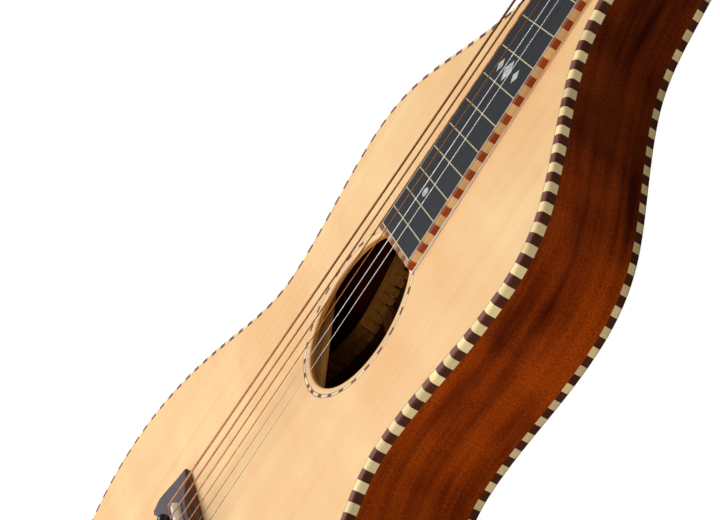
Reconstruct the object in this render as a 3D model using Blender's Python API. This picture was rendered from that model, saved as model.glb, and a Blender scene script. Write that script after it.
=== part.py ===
# Lap steel guitar with a hollow neck: flat soundboard, deep sides, rope binding, strings set high
# over a flush-fretted board, bat-wing pin bridge and six open worm tuners. Metres, +Z up.
#
# The flat back lies on Z = 0 and the head points to -X. Pieces are drawn in the soundboard's own
# frame: s runs from the nut's front face to the tail, w across to the treble side, and h up from
# the soundboard's top face. The body gets deeper toward the tail, so that frame is tipped a little.

import math

import bmesh
import bpy
from mathutils import Vector

# Clearance between pieces that touch
GAP = 0.0003

# Scale and frets
SCALE_LENGTH = 0.635
FRET_COUNT = 18
FRET_SLOT_WIDTH = 0.0008
FRET_SLOT_DEPTH = 0.0010

# Body outline: half widths and where they lie
BODY_LENGTH = 0.834
NUT_END_HALF_WIDTH = 0.0284
NECK_STATION = 0.150
NECK_HALF_WIDTH = 0.0315
NECK_END_STATION = 0.232
NECK_END_HALF_WIDTH = 0.0396
SHOULDER_FOOT_STATION = 0.270
SHOULDER_FOOT_HALF_WIDTH = 0.0488
SHOULDER_STATION = 0.310
SHOULDER_HALF_WIDTH = 0.0810
SHOULDER_TOP_STATION = 0.350
SHOULDER_TOP_HALF_WIDTH = 0.1182
UPPER_BOUT_STATION = 0.395
UPPER_BOUT_HALF_WIDTH = 0.1315
WAIST_STATION = 0.497
WAIST_HALF_WIDTH = 0.1169
LOWER_FLARE_STATION = 0.550
LOWER_FLARE_HALF_WIDTH = 0.1400
LOWER_SHOULDER_STATION = 0.610
LOWER_SHOULDER_HALF_WIDTH = 0.1789
LOWER_BOUT_STATION = 0.686
LOWER_BOUT_HALF_WIDTH = 0.1994
TAIL_SQUARENESS = 2.2
TAIL_STEPS = 9

# Body depth, square to the soundboard, and wall sizes
NUT_DEPTH = 0.04395
TAIL_DEPTH = 0.09049
SIDE_THICKNESS = 0.0022
TOP_THICKNESS = 0.0032
BACK_THICKNESS = 0.0026
BINDING_WIDTH = 0.0042
BINDING_HEIGHT = 0.0056
BINDING_ROUND = 0.0020
LINING_WIDTH = 0.0065
LINING_HEIGHT = 0.0120
LINING_EDGE = 0.0030

# Sound hole
HOLE_STATION = 0.4684
HOLE_RADIUS = 0.0490
HOLE_EDGE_ROUND = 0.0015
RING_INNER_RADIUS = 0.0530
RING_OUTER_RADIUS = 0.0555
RING_DEPTH = 0.0012
HOLE_STEPS = 32

# Fingerboard and nut
BOARD_NUT_HALF_WIDTH = 0.0186
BOARD_END_HALF_WIDTH = 0.0296
BOARD_LENGTH = 0.4223
BOARD_HEIGHT = 0.0045
BOARD_BINDING_WIDTH = 0.0038
NUT_THICKNESS = 0.0055
NUT_HEIGHT = 0.0091
NUT_BACK_HEIGHT = 0.0070
NUT_HALF_LENGTH = 0.0224

# Strings, bass to treble
STRING_RADII = (0.00071, 0.00057, 0.00044, 0.00032, 0.00023, 0.00019)
STRING_SPACING_NUT = 0.00773
STRING_SPACING_SADDLE = 0.01253
PLAIN_STRINGS = 2
STRING_WINDS = 2
WIND_POINTS = 24
WIND_SPACE = 0.0005
BALL_RADIUS = 0.0015
BALL_LENGTH = 0.0024
STRING_BEND = 0.0005

# Bridge, saddle and pins
BRIDGE_FRONT = 0.6343
BRIDGE_HEIGHT = 0.0115
BRIDGE_HALF_LENGTH = 0.0900
BRIDGE_WIDTH = 0.0343
BRIDGE_EDGE = 0.0008
SADDLE_FRONT = 0.6395
SADDLE_THICKNESS = 0.0032
SADDLE_HALF_LENGTH = 0.0370
SADDLE_TOP = 0.0180
SADDLE_SEAT = 0.0050
SADDLE_EDGE = 0.0008
SADDLE_ROUND = 0.0014
SADDLE_END_ROUND = 0.0070
SADDLE_END_DROP = 0.0045
PIN_STATION = 0.6515
PIN_RADIUS = 0.0023
PIN_TIP_RADIUS = 0.0018
PIN_HOLE_RADIUS = 0.0027
PIN_HOLE_STEPS = 8
PIN_BALL_RADIUS = 0.0040
PIN_BALL_RISE = 0.0050
PIN_SLOT_FRONT = 0.6466
PIN_SLOT_HALF_WIDTH = 0.0011
PIN_SIDES = 10
STRING_DROP = 0.6480
BRIDGE_PLATE_HALF_LENGTH = 0.0700
BRIDGE_PLATE_BACK = 0.6740
BRIDGE_PLATE_THICKNESS = 0.0025

# Braces
X_BRACE_STATION = 0.5290
X_BRACE_ANGLE = math.radians(58.8)
X_BRACE_FRONT_REACH = 0.1170
X_BRACE_REAR_REACH = 0.1950
BRACE_WIDTH = 0.0070
BRACE_HEIGHT = 0.0090
UPPER_BRACE_STATION = 0.3980
UPPER_BRACE_HEIGHT = 0.0115
TONE_BAR_ROOM_SHARES = (0.20, 0.49)
TONE_BAR_LENGTH_SHARES = (0.50, 0.46)
TONE_BAR_RISE_SHARE = 0.19
SHOULDER_BACK_BRACE_STATION = 0.350
WAIST_BACK_BRACE_STATION = 0.488
LOWER_BACK_BRACE_STATION = 0.690
BRACE_END_CLEARANCE = 0.0018
BACK_BRACE_HEIGHT = 0.0090
BACK_BRACE_WIDTH = 0.0100
BRACE_TIP_LENGTH = 0.0280
BRACE_TIP_HEIGHT = 0.0030
NECK_BLOCK_LENGTH = 0.0300
TAIL_BLOCK_LENGTH = 0.0180
TAIL_BLOCK_HALF_WIDTH = 0.0300

# Headstock
HEAD_TILT = math.radians(4.5)
HEAD_LENGTH = 0.1610
HEAD_THICKNESS = 0.0130
FACEPLATE_THICKNESS = 0.0020
HEEL_LENGTH = 0.0340
HEEL_ROUND = 0.0020
HEAD_WAIST = 0.0200
HEAD_WAIST_HALF_WIDTH = 0.0270
HEAD_CROWN_START = 0.1390
HEAD_HALF_WIDTH = 0.0330
CROWN_SHARPNESS = 2.6

# Tuners
TUNER_COUNT = 3
FIRST_POST_DISTANCE = 0.046
POST_SPACING = 0.037
POST_OFFSET = 0.0200
POST_RADIUS = 0.0030
POST_WAIST_RADIUS = 0.0026
POST_HEIGHT = 0.0165
POST_CAP = 0.0030
POST_EDGE = 0.0008
POST_EASE = 0.0005
STRING_ARRIVAL = 0.0100
POST_COLLAR = 0.0018
POST_SIDES = 10
POST_HOLE_CLEARANCE = 0.0005
PLATE_THICKNESS = 0.0012
PLATE_HALF_WIDTH = 0.0075
PLATE_FRONT_MARGIN = 0.0095
PLATE_REAR_MARGIN = 0.0060
EAR_INNER = 0.0046
EAR_THICKNESS = 0.0014
EAR_HALF_LENGTH = 0.0030
EAR_RISE = 0.0030
WHEEL_TEETH = 14
WHEEL_ROOT_RADIUS = 0.00585
WHEEL_TIP_RADIUS = 0.00695
WHEEL_THICKNESS = 0.0024
TOOTH_TIP_HALF_WIDTH = 0.00035
TOOTH_ROOT_HALF_WIDTH = 0.00060
WORM_DISTANCE = 0.0090
WORM_RADIUS = 0.0028
WORM_VALLEY_RADIUS = 0.0017
WORM_SHAFT_RADIUS = 0.0015
WORM_SHAFT_END = 0.0012
THREAD_STEPS = 8
THREAD_RINGS = 20
WHEEL_SCREW_RADIUS = 0.0026
WHEEL_SCREW_HEIGHT = 0.0014
BUTTON_START = 0.0150
BUTTON_LENGTH = 0.0160
BUTTON_HALF_WIDTH = 0.0075
BUTTON_HALF_THICKNESS = 0.0042
BUTTON_COLLAR_RADIUS = 0.0032
BUTTON_BORE_DEPTH = 0.0055
BUTTON_SIDES = 12

# End pin
END_PIN_SHANK_RADIUS = 0.0030
END_PIN_SHANK_LENGTH = 0.0140
END_PIN_FLANGE_RADIUS = 0.0075
END_PIN_LENGTH = 0.0115
END_PIN_SIDES = 14

# Sizes that follow from the ones above
BODY_TIP = math.atan((TAIL_DEPTH - NUT_DEPTH) / BODY_LENGTH)
HEAD_STATION = -NUT_THICKNESS - 2 * GAP
BODY_START = HEAD_STATION + GAP
EDGE = BINDING_WIDTH + GAP
LINING_OUT = SIDE_THICKNESS + GAP
LINING_BACK = LINING_OUT + LINING_WIDTH
END_PIN_DROP = TAIL_DEPTH / 2
STRING_COUNT = len(STRING_RADII)
POST_DISTANCES = tuple(FIRST_POST_DISTANCE + POST_SPACING * k for k in range(TUNER_COUNT))
PLATE_TOP = -HEAD_THICKNESS - GAP
PLATE_UNDER = PLATE_TOP - PLATE_THICKNESS
WORM_LEVEL = PLATE_UNDER - WORM_RADIUS - GAP
THREAD_LEAD = math.tau * (WHEEL_ROOT_RADIUS + WHEEL_TIP_RADIUS) / 2 / WHEEL_TEETH


# Frames

def tipped(s, w, h):
    """A point of the soundboard's frame, with the nut's front edge above X = 0."""
    across = math.cos(BODY_TIP)
    rise = math.sin(BODY_TIP)
    return Vector((s * across - h * rise, w, s * rise + (h + NUT_DEPTH) * across))


def head_spot(d, w, z):
    """A point of the head: d from the nut end, z up from the faceplate's top."""
    s = HEAD_STATION - d * math.cos(HEAD_TILT) - z * math.sin(HEAD_TILT)
    h = -d * math.sin(HEAD_TILT) + z * math.cos(HEAD_TILT)
    return (s, w, h)


def nut_plane_distance(z):
    """Where the head's height z meets the flat end of the body."""
    return -z * math.tan(HEAD_TILT)


def middle():
    """The middle of the instrument's length, between the head's tip and the end pin."""
    head = tipped(*head_spot(HEAD_LENGTH, 0, 0)).x
    pin_end = BODY_LENGTH + GAP + END_PIN_LENGTH
    tail = tipped(pin_end, 0, -END_PIN_DROP - 0.7 * END_PIN_FLANGE_RADIUS).x
    return (head + tail) / 2


MIDDLE = middle()


def place(point):
    return tipped(*point) - Vector((MIDDLE, 0, 0))


# Materials and objects

def clear_scene():
    for item in list(bpy.data.objects):
        bpy.data.objects.remove(item, do_unlink=True)


def paint(piece, colour, roughness, metallic=0.0):
    material = bpy.data.materials.new(piece.name)
    material.use_nodes = True
    shader = material.node_tree.nodes["Principled BSDF"]
    shader.inputs["Base Color"].default_value = (*colour, 1.0)
    shader.inputs["Roughness"].default_value = roughness
    shader.inputs["Metallic"].default_value = metallic
    piece.data.materials.append(material)


def spruce(piece):
    paint(piece, (0.86, 0.62, 0.33), 0.35)


def brace_spruce(piece):
    paint(piece, (0.80, 0.63, 0.40), 0.7)


def mahogany(piece):
    paint(piece, (0.16, 0.035, 0.015), 0.18)


def inner_mahogany(piece):
    paint(piece, (0.33, 0.15, 0.07), 0.7)


def rope_binding(piece):
    paint(piece, (0.50, 0.36, 0.16), 0.3)


def ebony(piece):
    paint(piece, (0.045, 0.045, 0.055), 0.4)


def rosewood(piece):
    paint(piece, (0.09, 0.055, 0.045), 0.4)


def bone(piece):
    paint(piece, (0.88, 0.85, 0.76), 0.35)


def black_plastic(piece):
    paint(piece, (0.012, 0.012, 0.014), 0.25)


def nickel(piece):
    paint(piece, (0.72, 0.70, 0.66), 0.25, 1.0)


def bronze_wire(piece):
    paint(piece, (0.72, 0.50, 0.30), 0.35, 1.0)


def steel_wire(piece):
    paint(piece, (0.70, 0.71, 0.73), 0.22, 1.0)


def cream_button(piece):
    paint(piece, (0.85, 0.80, 0.66), 0.3)


class Solid:
    """Closed bodies of one piece, gathered as corners and faces."""

    def __init__(self):
        self.corners = []
        self.faces = []

    def loft(self, rings, capped=True):
        """Join rings of equally many points, in order, and close both ends."""
        count = len(rings[0])
        first = len(self.corners)
        for ring in rings:
            self.corners.extend(ring)
        for step in range(len(rings) - 1):
            low = first + step * count
            for side in range(count):
                after = (side + 1) % count
                quad = (low + side, low + after, low + count + after, low + count + side)
                self.faces.append(quad)
        if capped:
            last = first + (len(rings) - 1) * count
            self.faces.append(tuple(range(first, first + count)))
            self.faces.append(tuple(range(last, last + count)))
        return self

    def hoop(self, rings):
        """Join rings of equally many points and the last ring to the first."""
        count = len(rings[0])
        first = len(self.corners)
        self.loft(rings, capped=False)
        last = first + (len(rings) - 1) * count
        for side in range(count):
            after = (side + 1) % count
            self.faces.append((last + side, last + after, first + after, first + side))
        return self

    def prism(self, outline, low, high):
        """Raise a plan outline of (s, w) points from height low to height high."""
        return self.loft([[(s, w, h) for s, w in outline] for h in (low, high)])

    def block(self, start, end, half_width, low, high):
        outline = ((start, -half_width), (end, -half_width), (end, half_width), (start, half_width))
        return self.prism(outline, low, high)

    def make(self, name, finish, origin=None, smooth=False):
        """The piece as an object, with its origin at the world's or at a point given."""
        centre = place(origin) if origin else Vector()
        shape = bmesh.new()
        corners = [shape.verts.new(place(corner) - centre) for corner in self.corners]
        for face in self.faces:
            ring = []
            for index in face:
                if not ring or corners[index] is not ring[-1]:
                    ring.append(corners[index])
            shape.faces.new(ring)
        bmesh.ops.remove_doubles(shape, verts=shape.verts, dist=1e-6)
        bmesh.ops.dissolve_degenerate(shape, dist=1e-7, edges=shape.edges)
        bmesh.ops.recalc_face_normals(shape, faces=shape.faces)
        mesh = bpy.data.meshes.new(name)
        shape.to_mesh(mesh)
        shape.free()
        if smooth:
            mesh.shade_smooth()
            mesh.set_sharp_from_angle(angle=math.radians(35))
        piece = bpy.data.objects.new(name, mesh)
        piece.location = centre
        bpy.context.scene.collection.objects.link(piece)
        if finish:
            finish(piece)
        return piece


def cut(pieces, cutter, operation="DIFFERENCE"):
    """Take the cutter's shape out of each piece, or join it on, and hide the cutter."""
    cutter.hide_render = True
    cutter.display_type = "WIRE"
    for piece in pieces:
        hole = piece.modifiers.new(cutter.name, "BOOLEAN")
        hole.operation = operation
        hole.solver = "EXACT"
        hole.object = cutter


# Body outline

def outline_knots():
    """Stations of the half outline: distance, half width and slope."""
    return (
        (BODY_START, NUT_END_HALF_WIDTH, 0.01),
        (NECK_STATION, NECK_HALF_WIDTH, 0.04),
        (NECK_END_STATION, NECK_END_HALF_WIDTH, 0.12),
        (SHOULDER_FOOT_STATION, SHOULDER_FOOT_HALF_WIDTH, 0.48),
        (SHOULDER_STATION, SHOULDER_HALF_WIDTH, 1.00),
        (SHOULDER_TOP_STATION, SHOULDER_TOP_HALF_WIDTH, 0.68),
        (UPPER_BOUT_STATION, UPPER_BOUT_HALF_WIDTH, 0.0),
        (WAIST_STATION, WAIST_HALF_WIDTH, 0.0),
        (LOWER_FLARE_STATION, LOWER_FLARE_HALF_WIDTH, 0.70),
        (LOWER_SHOULDER_STATION, LOWER_SHOULDER_HALF_WIDTH, 0.50),
        (LOWER_BOUT_STATION, LOWER_BOUT_HALF_WIDTH, 0.0),
    )


KNOT_STEPS = (1, 2, 2, 3, 2, 3, 4, 3, 2, 3)


def knot_point(start, end, share):
    """A cubic between two stations that keeps both slopes; also its direction."""
    length = end[0] - start[0]
    rise = 3 * (end[1] - start[1]) - (2 * start[2] + end[2]) * length
    bend = (start[2] + end[2]) * length - 2 * (end[1] - start[1])
    width = start[1] + share * (start[2] * length + share * (rise + share * bend))
    slope = start[2] + share * (2 * rise + 3 * share * bend) / length
    return start[0] + share * length, width, slope


def tail_point(share):
    """A squared-off quarter ellipse from the widest place to the tail's middle."""
    turn = share * math.pi / 2
    reach = BODY_LENGTH - LOWER_BOUT_STATION
    power = 2 / TAIL_SQUARENESS
    return (
        LOWER_BOUT_STATION + reach * math.sin(turn) ** power,
        LOWER_BOUT_HALF_WIDTH * max(math.cos(turn), 0.0) ** power,
    )


def half_outline():
    """Points of the treble half, nut to tail, each with its inward direction."""
    found = []
    knots = outline_knots()
    for start, end, steps in zip(knots, knots[1:], KNOT_STEPS):
        for step in range(steps):
            s, w, slope = knot_point(start, end, step / steps)
            length = math.hypot(1, slope)
            found.append((s, w, slope / length, -1 / length))
    for step in range(TAIL_STEPS + 1):
        share = step / TAIL_STEPS
        s, w = tail_point(share)
        before = tail_point(max(share - 0.01, 0))
        after = tail_point(min(share + 0.01, 1))
        along_s = after[0] - before[0] if 0 < share < 1 else 1.0 - round(share)
        along_w = after[1] - before[1] if 0 < share < 1 else -float(round(share))
        length = math.hypot(along_s, along_w)
        found.append((s, w, along_w / length, -along_s / length))
    found[0] = (BODY_START, NUT_END_HALF_WIDTH, 0.0, -1.0)
    return found


HALF_OUTLINE = half_outline()


def inset_half(inset):
    """The treble half of the outline, moved inward."""
    return [(s + inset * ns, w + inset * nw) for s, w, ns, nw in HALF_OUTLINE]


def inset_loop(inset):
    """The whole outline, moved inward, from the bass nut corner round the tail."""
    treble = inset_half(inset)
    bass = [(s, -w) for s, w in treble]
    return bass + treble[-2::-1]


def half_width(s, inset=0.0):
    """Half width of the outline, moved inward, at a distance from the nut."""
    points = inset_half(inset)
    for (s0, w0), (s1, w1) in zip(points, points[1:]):
        if s0 <= s <= s1:
            return w0 + (w1 - w0) * (s - s0) / (s1 - s0)
    return points[0][1] if s < points[0][0] else 0.0


def depth(s):
    return NUT_DEPTH + (TAIL_DEPTH - NUT_DEPTH) * s / BODY_LENGTH


def rail_ring(station, profile):
    """One section of a piece that follows the outline: profile points are (inset, level, rise)."""
    s, w, ns, nw = station
    ring = []
    for inset, level, rise in profile:
        at = s + inset * ns
        base = -depth(at) if level == "back" else 0.0
        ring.append((at, w + inset * nw, base + rise))
    return ring


def mirrored(ring):
    return [(s, -w, h) for s, w, h in ring]


def rail_stations(start):
    """Stations of the half outline from a distance onward."""
    first = (start, half_width(start), 0.0, -1.0)
    return [first] + [station for station in HALF_OUTLINE if station[0] > start + 0.002]


def whole_rail(profile, start=BODY_START):
    """A piece along the whole outline, open toward the nut."""
    treble = [rail_ring(station, profile) for station in rail_stations(start)]
    bass = [mirrored(ring) for ring in treble[:-1]]
    return Solid().loft(bass + treble[::-1])


def half_rail(profile, side):
    """A piece along one half of the outline, up to the seam at the tail's middle."""
    stations = rail_stations(BODY_START)
    s, w, ns, nw = stations[-1]
    stations[-1] = (s, w + GAP / 2, ns, nw)
    rings = [rail_ring(station, profile) for station in stations]
    if side < 0:
        rings = [mirrored(ring) for ring in rings]
    return Solid().loft(rings)


def circle(station, offset, radius, steps):
    """A plan circle, as (s, w) points."""
    turn = math.tau / steps
    return [
        (station + radius * math.cos(turn * k), offset + radius * math.sin(turn * k))
        for k in range(steps)
    ]


# Body pieces

def make_soundboard():
    """Spruce top with its sound hole, round on the upper edge, and the channel of its ring."""
    outer = inset_loop(EDGE)
    hole = circle(HOLE_STATION, 0, HOLE_RADIUS, HOLE_STEPS)
    eased = HOLE_EDGE_ROUND * (1 - math.sin(math.radians(45)))
    hole_lip = circle(HOLE_STATION, 0, HOLE_RADIUS + HOLE_EDGE_ROUND, HOLE_STEPS)
    hole_curve = circle(HOLE_STATION, 0, HOLE_RADIUS + eased, HOLE_STEPS)
    channel_in = circle(HOLE_STATION, 0, RING_INNER_RADIUS - GAP, HOLE_STEPS)
    channel_out = circle(HOLE_STATION, 0, RING_OUTER_RADIUS + GAP, HOLE_STEPS)
    floor = -RING_DEPTH - GAP
    shape = bmesh.new()

    def ring(points, h):
        corners = [shape.verts.new(place((s, w, h))) for s, w in points]
        edges = [shape.edges.new((a, b)) for a, b in zip(corners, corners[1:] + corners[:1])]
        return corners, edges

    def wall(first, second):
        for a, b, c, d in zip(first, first[1:] + first[:1], second[1:] + second[:1], second):
            shape.faces.new((a, b, c, d))

    outer_top, outer_top_edges = ring(outer, 0)
    outer_low, outer_low_edges = ring(outer, -TOP_THICKNESS)
    out_top, out_top_edges = ring(channel_out, 0)
    out_low, _ = ring(channel_out, floor)
    in_low, _ = ring(channel_in, floor)
    in_top, _ = ring(channel_in, 0)
    lip, _ = ring(hole_lip, 0)
    curve, _ = ring(hole_curve, -eased)
    hole_top, _ = ring(hole, -HOLE_EDGE_ROUND)
    hole_low, hole_low_edges = ring(hole, -TOP_THICKNESS)
    wall(outer_top, outer_low)
    wall(out_top, out_low)
    wall(out_low, in_low)
    wall(in_low, in_top)
    wall(in_top, lip)
    wall(lip, curve)
    wall(curve, hole_top)
    wall(hole_top, hole_low)
    for edges in (outer_top_edges + out_top_edges, outer_low_edges + hole_low_edges):
        bmesh.ops.triangle_fill(shape, use_beauty=True, use_dissolve=False, edges=edges)
    bmesh.ops.recalc_face_normals(shape, faces=shape.faces)
    mesh = bpy.data.meshes.new("soundboard")
    shape.to_mesh(mesh)
    shape.free()
    piece = bpy.data.objects.new("soundboard", mesh)
    bpy.context.scene.collection.objects.link(piece)
    spruce(piece)
    return piece


def make_back():
    """Flat back, set inside its binding."""
    loop = inset_loop(EDGE)
    low = [(s, w, -depth(s)) for s, w in loop]
    high = [(s, w, -depth(s) + BACK_THICKNESS) for s, w in loop]
    return Solid().loft([low, high]).make("back_plate", mahogany)


def make_side(name, side):
    """One bent side, from the head to the seam at the tail."""
    rim = BINDING_HEIGHT + GAP
    profile = (
        (0, "top", -rim),
        (0, "back", rim),
        (SIDE_THICKNESS, "back", rim),
        (SIDE_THICKNESS, "top", -rim),
    )
    return half_rail(profile, side).make(name, mahogany, smooth=True)


def make_bindings():
    """Rope binding on the top edge, rounded outside, and on the back edge."""
    half = BINDING_ROUND * (1 - math.sqrt(0.5))
    top = (
        (0, "top", -BINDING_HEIGHT),
        (0, "top", -BINDING_ROUND),
        (half, "top", -half),
        (BINDING_ROUND, "top", 0),
        (BINDING_WIDTH, "top", 0),
        (BINDING_WIDTH, "top", -BINDING_HEIGHT),
    )
    back = tuple((inset, "back", -rise) for inset, _, rise in top)
    whole_rail(top).make("top_binding", rope_binding, smooth=True)
    whole_rail(back).make("back_binding", rope_binding, smooth=True)


def make_linings():
    """Kerfed strips in the corners between the sides and both plates."""
    for level, sign, plate in (("top", -1, TOP_THICKNESS), ("back", 1, BACK_THICKNESS)):
        rim = BINDING_HEIGHT + GAP
        seat = plate + GAP
        profile = (
            (LINING_OUT, level, sign * rim),
            (EDGE + GAP, level, sign * rim),
            (EDGE + GAP, level, sign * seat),
            (LINING_BACK, level, sign * seat),
            (LINING_BACK, level, sign * (seat + LINING_EDGE)),
            (LINING_OUT, level, sign * (seat + LINING_HEIGHT)),
        )
        whole_rail(profile, NECK_BLOCK_LENGTH + GAP).make(f"{level}_lining", brace_spruce)


def make_ring():
    """Rope ring let into the soundboard round the hole."""
    rings = []
    for inner, outer in zip(
        circle(HOLE_STATION, 0, RING_INNER_RADIUS, HOLE_STEPS),
        circle(HOLE_STATION, 0, RING_OUTER_RADIUS, HOLE_STEPS),
    ):
        low, high = -RING_DEPTH, 0
        rings.append([(*inner, low), (*outer, low), (*outer, high), (*inner, high)])
    Solid().hoop(rings).make("soundhole_purfling", rope_binding)


def tail_station(w):
    """Where the faceted tail lies at a distance w from the middle."""
    for (s0, w0, *_), (s1, w1, *_) in zip(HALF_OUTLINE[-2::-1], HALF_OUTLINE[:0:-1]):
        if w <= w0:
            return s1 + (s0 - s1) * (w - w1) / (w0 - w1)
    return LOWER_BOUT_STATION


def make_blocks():
    """Neck block behind the head, and tail block at the sides' seam."""
    top = -TOP_THICKNESS - GAP
    rim = BINDING_HEIGHT + GAP
    rings = []
    for s in (BODY_START + GAP, NECK_BLOCK_LENGTH):
        wide = half_width(s) - LINING_OUT
        narrow = half_width(s) - EDGE - GAP
        floor = -depth(s) + BACK_THICKNESS + GAP
        low_rim = -depth(s) + rim
        right = [(narrow, top), (narrow, -rim), (wide, -rim)]
        right += [(wide, low_rim), (narrow, low_rim), (narrow, floor)]
        left = [(-w, h) for w, h in reversed(right)]
        rings.append([(s, w, h) for w, h in right + left])
    Solid().loft(rings).make("neck_block", inner_mahogany)
    half = TAIL_BLOCK_HALF_WIDTH
    front = BODY_LENGTH - LINING_OUT - TAIL_BLOCK_LENGTH
    notch = LINING_BACK + 2 * GAP
    high = TOP_THICKNESS + GAP
    low = BACK_THICKNESS + GAP
    step = LINING_HEIGHT + GAP
    levels = (
        (notch, "top", -high),
        (notch, "top", -high - step),
        (LINING_OUT, "top", -high - step),
        (LINING_OUT, "back", low + step),
        (notch, "back", low + step),
        (notch, "back", low),
    )
    rings = []
    for w in (-half, 0, half):
        ring = rail_ring((tail_station(abs(w)), w, -1.0, 0.0), levels)
        ring.append((front, w, -depth(front) + low))
        ring.append((front, w, -high))
        rings.append(ring)
    return Solid().loft(rings).make("tail_block", inner_mahogany)


def make_end_pin():
    """Turned end pin, with its shank through the sides' seam into the tail block."""
    face = BODY_LENGTH + GAP
    flange = END_PIN_FLANGE_RADIUS
    profile = (
        (face - END_PIN_SHANK_LENGTH, 0.0),
        (face - END_PIN_SHANK_LENGTH, END_PIN_SHANK_RADIUS),
        (face, END_PIN_SHANK_RADIUS),
        (face, flange),
        (face + 0.16 * END_PIN_LENGTH, 0.94 * flange),
        (face + 0.42 * END_PIN_LENGTH, 0.50 * flange),
        (face + 0.68 * END_PIN_LENGTH, 0.74 * flange),
        (face + 0.90 * END_PIN_LENGTH, 0.72 * flange),
        (face + END_PIN_LENGTH, 0.40 * flange),
        (face + END_PIN_LENGTH, 0.0),
    )
    end_pin_turning(profile).make("end_pin", black_plastic, smooth=True)


def end_pin_turning(profile):
    rings = []
    for s, radius in profile:
        ring = circle(0, 0, radius, END_PIN_SIDES)
        rings.append([(s, w, h - END_PIN_DROP) for w, h in ring])
    return Solid().loft(rings)


def end_pin_cutter():
    radius = END_PIN_SHANK_RADIUS + GAP
    depth_in = END_PIN_SHANK_LENGTH + 2 * GAP
    start = BODY_LENGTH + GAP - depth_in
    profile = ((start, radius), (BODY_LENGTH + SIDE_THICKNESS, radius))
    return end_pin_turning(profile).make("end_pin_cutter", None)


# Braces

def brace(centre, angle, reach_front, reach_rear, top, height, width, notch=None):
    """A straight brace with lowered tips, hung from a plate; angle is from the length."""
    tip = BRACE_TIP_LENGTH
    lean = -1 if height > 0 else 1
    full = abs(height)
    profile = [
        (-reach_front, 0.0),
        (reach_rear, 0.0),
        (reach_rear, BRACE_TIP_HEIGHT),
        (reach_rear - tip, full),
        (-reach_front + tip, full),
        (-reach_front, BRACE_TIP_HEIGHT),
    ]
    if notch:
        half, start, end = notch
        if start == 0:
            profile[1:1] = [(-half, 0.0), (-half, end), (half, end), (half, 0.0)]
        else:
            profile[4:4] = [(half, full), (half, start), (-half, start), (-half, full)]
    rings = []
    for offset in (-width / 2, width / 2):
        ring = []
        for along, drop in profile:
            s = centre[0] + along * math.cos(angle) - offset * math.sin(angle)
            w = centre[1] + along * math.sin(angle) + offset * math.cos(angle)
            ring.append((s, w, top(s) + lean * drop))
        rings.append(ring)
    return Solid().loft(rings)


def under_top(_):
    return -TOP_THICKNESS - GAP


def over_back(s):
    return -depth(s) + BACK_THICKNESS + GAP


def make_x_brace():
    """Two legs, halved into each other where they cross."""
    crossing = math.pi - 2 * X_BRACE_ANGLE
    wide = BRACE_WIDTH + 2 * GAP
    half_notch = (wide / math.sin(crossing) + BRACE_WIDTH / math.tan(crossing)) / 2
    middle_height = BRACE_HEIGHT / 2
    notches = (
        (half_notch, middle_height - GAP / 2, BRACE_HEIGHT),
        (half_notch, 0, middle_height + GAP / 2),
    )
    for name, sign, notch in zip(("x_brace_a", "x_brace_b"), (1, -1), notches):
        brace(
            (X_BRACE_STATION, 0), sign * X_BRACE_ANGLE, X_BRACE_FRONT_REACH, X_BRACE_REAR_REACH,
            under_top, BRACE_HEIGHT, BRACE_WIDTH, notch,
        ).make(name, brace_spruce)


def make_cross_braces():
    """Straight braces across the top and the back."""
    reach = half_width(UPPER_BRACE_STATION, LINING_BACK) - BRACE_END_CLEARANCE
    brace(
        (UPPER_BRACE_STATION, 0), math.pi / 2, reach, reach,
        under_top, UPPER_BRACE_HEIGHT, BRACE_WIDTH,
    ).make("upper_transverse_brace", brace_spruce)
    room = BODY_LENGTH - BRIDGE_PLATE_BACK
    bars = zip(TONE_BAR_ROOM_SHARES, TONE_BAR_LENGTH_SHARES)
    for number, (room_share, length_share) in enumerate(bars, start=1):
        station = BRIDGE_PLATE_BACK + room_share * room
        across = length_share * half_width(station)
        slant = math.atan2(TONE_BAR_RISE_SHARE * room, across)
        brace(
            (station, 0), math.pi / 2 + slant, across, across,
            under_top, BRACE_HEIGHT, BRACE_WIDTH,
        ).make(f"tone_bar_{number}", brace_spruce)
    stations = (SHOULDER_BACK_BRACE_STATION, WAIST_BACK_BRACE_STATION, LOWER_BACK_BRACE_STATION)
    for number, station in enumerate(stations, start=1):
        edge = min(half_width(station + k * BACK_BRACE_WIDTH / 2, LINING_BACK) for k in (-1, 1))
        reach = edge - BRACE_END_CLEARANCE
        brace(
            (station, 0), math.pi / 2, reach, reach,
            over_back, -BACK_BRACE_HEIGHT, BACK_BRACE_WIDTH,
        ).make(f"back_brace_{number}", brace_spruce)


# Fingerboard and nut

def fret_station(number):
    return SCALE_LENGTH * (1 - 2 ** (-number / 12))


def board_half_width(s):
    share = s / BOARD_LENGTH
    return BOARD_NUT_HALF_WIDTH + (BOARD_END_HALF_WIDTH - BOARD_NUT_HALF_WIDTH) * share


def make_fingerboard():
    """Ebony board with sawn slots for its flush fret lines."""
    start = GAP
    top = BOARD_HEIGHT
    bottom = GAP
    profile = [(BOARD_LENGTH, bottom), (start, bottom), (start, top)]
    half_slot = FRET_SLOT_WIDTH / 2
    slot_floor = top - FRET_SLOT_DEPTH
    for number in range(1, FRET_COUNT + 1):
        s = fret_station(number)
        profile += [(s - half_slot, top), (s - half_slot, slot_floor)]
        profile += [(s + half_slot, slot_floor), (s + half_slot, top)]
    profile.append((BOARD_LENGTH, top))
    rings = []
    for side in (-1, 1):
        rings.append([(s, side * board_half_width(s), h) for s, h in profile])
    Solid().loft(rings).make("fingerboard", ebony)


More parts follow.
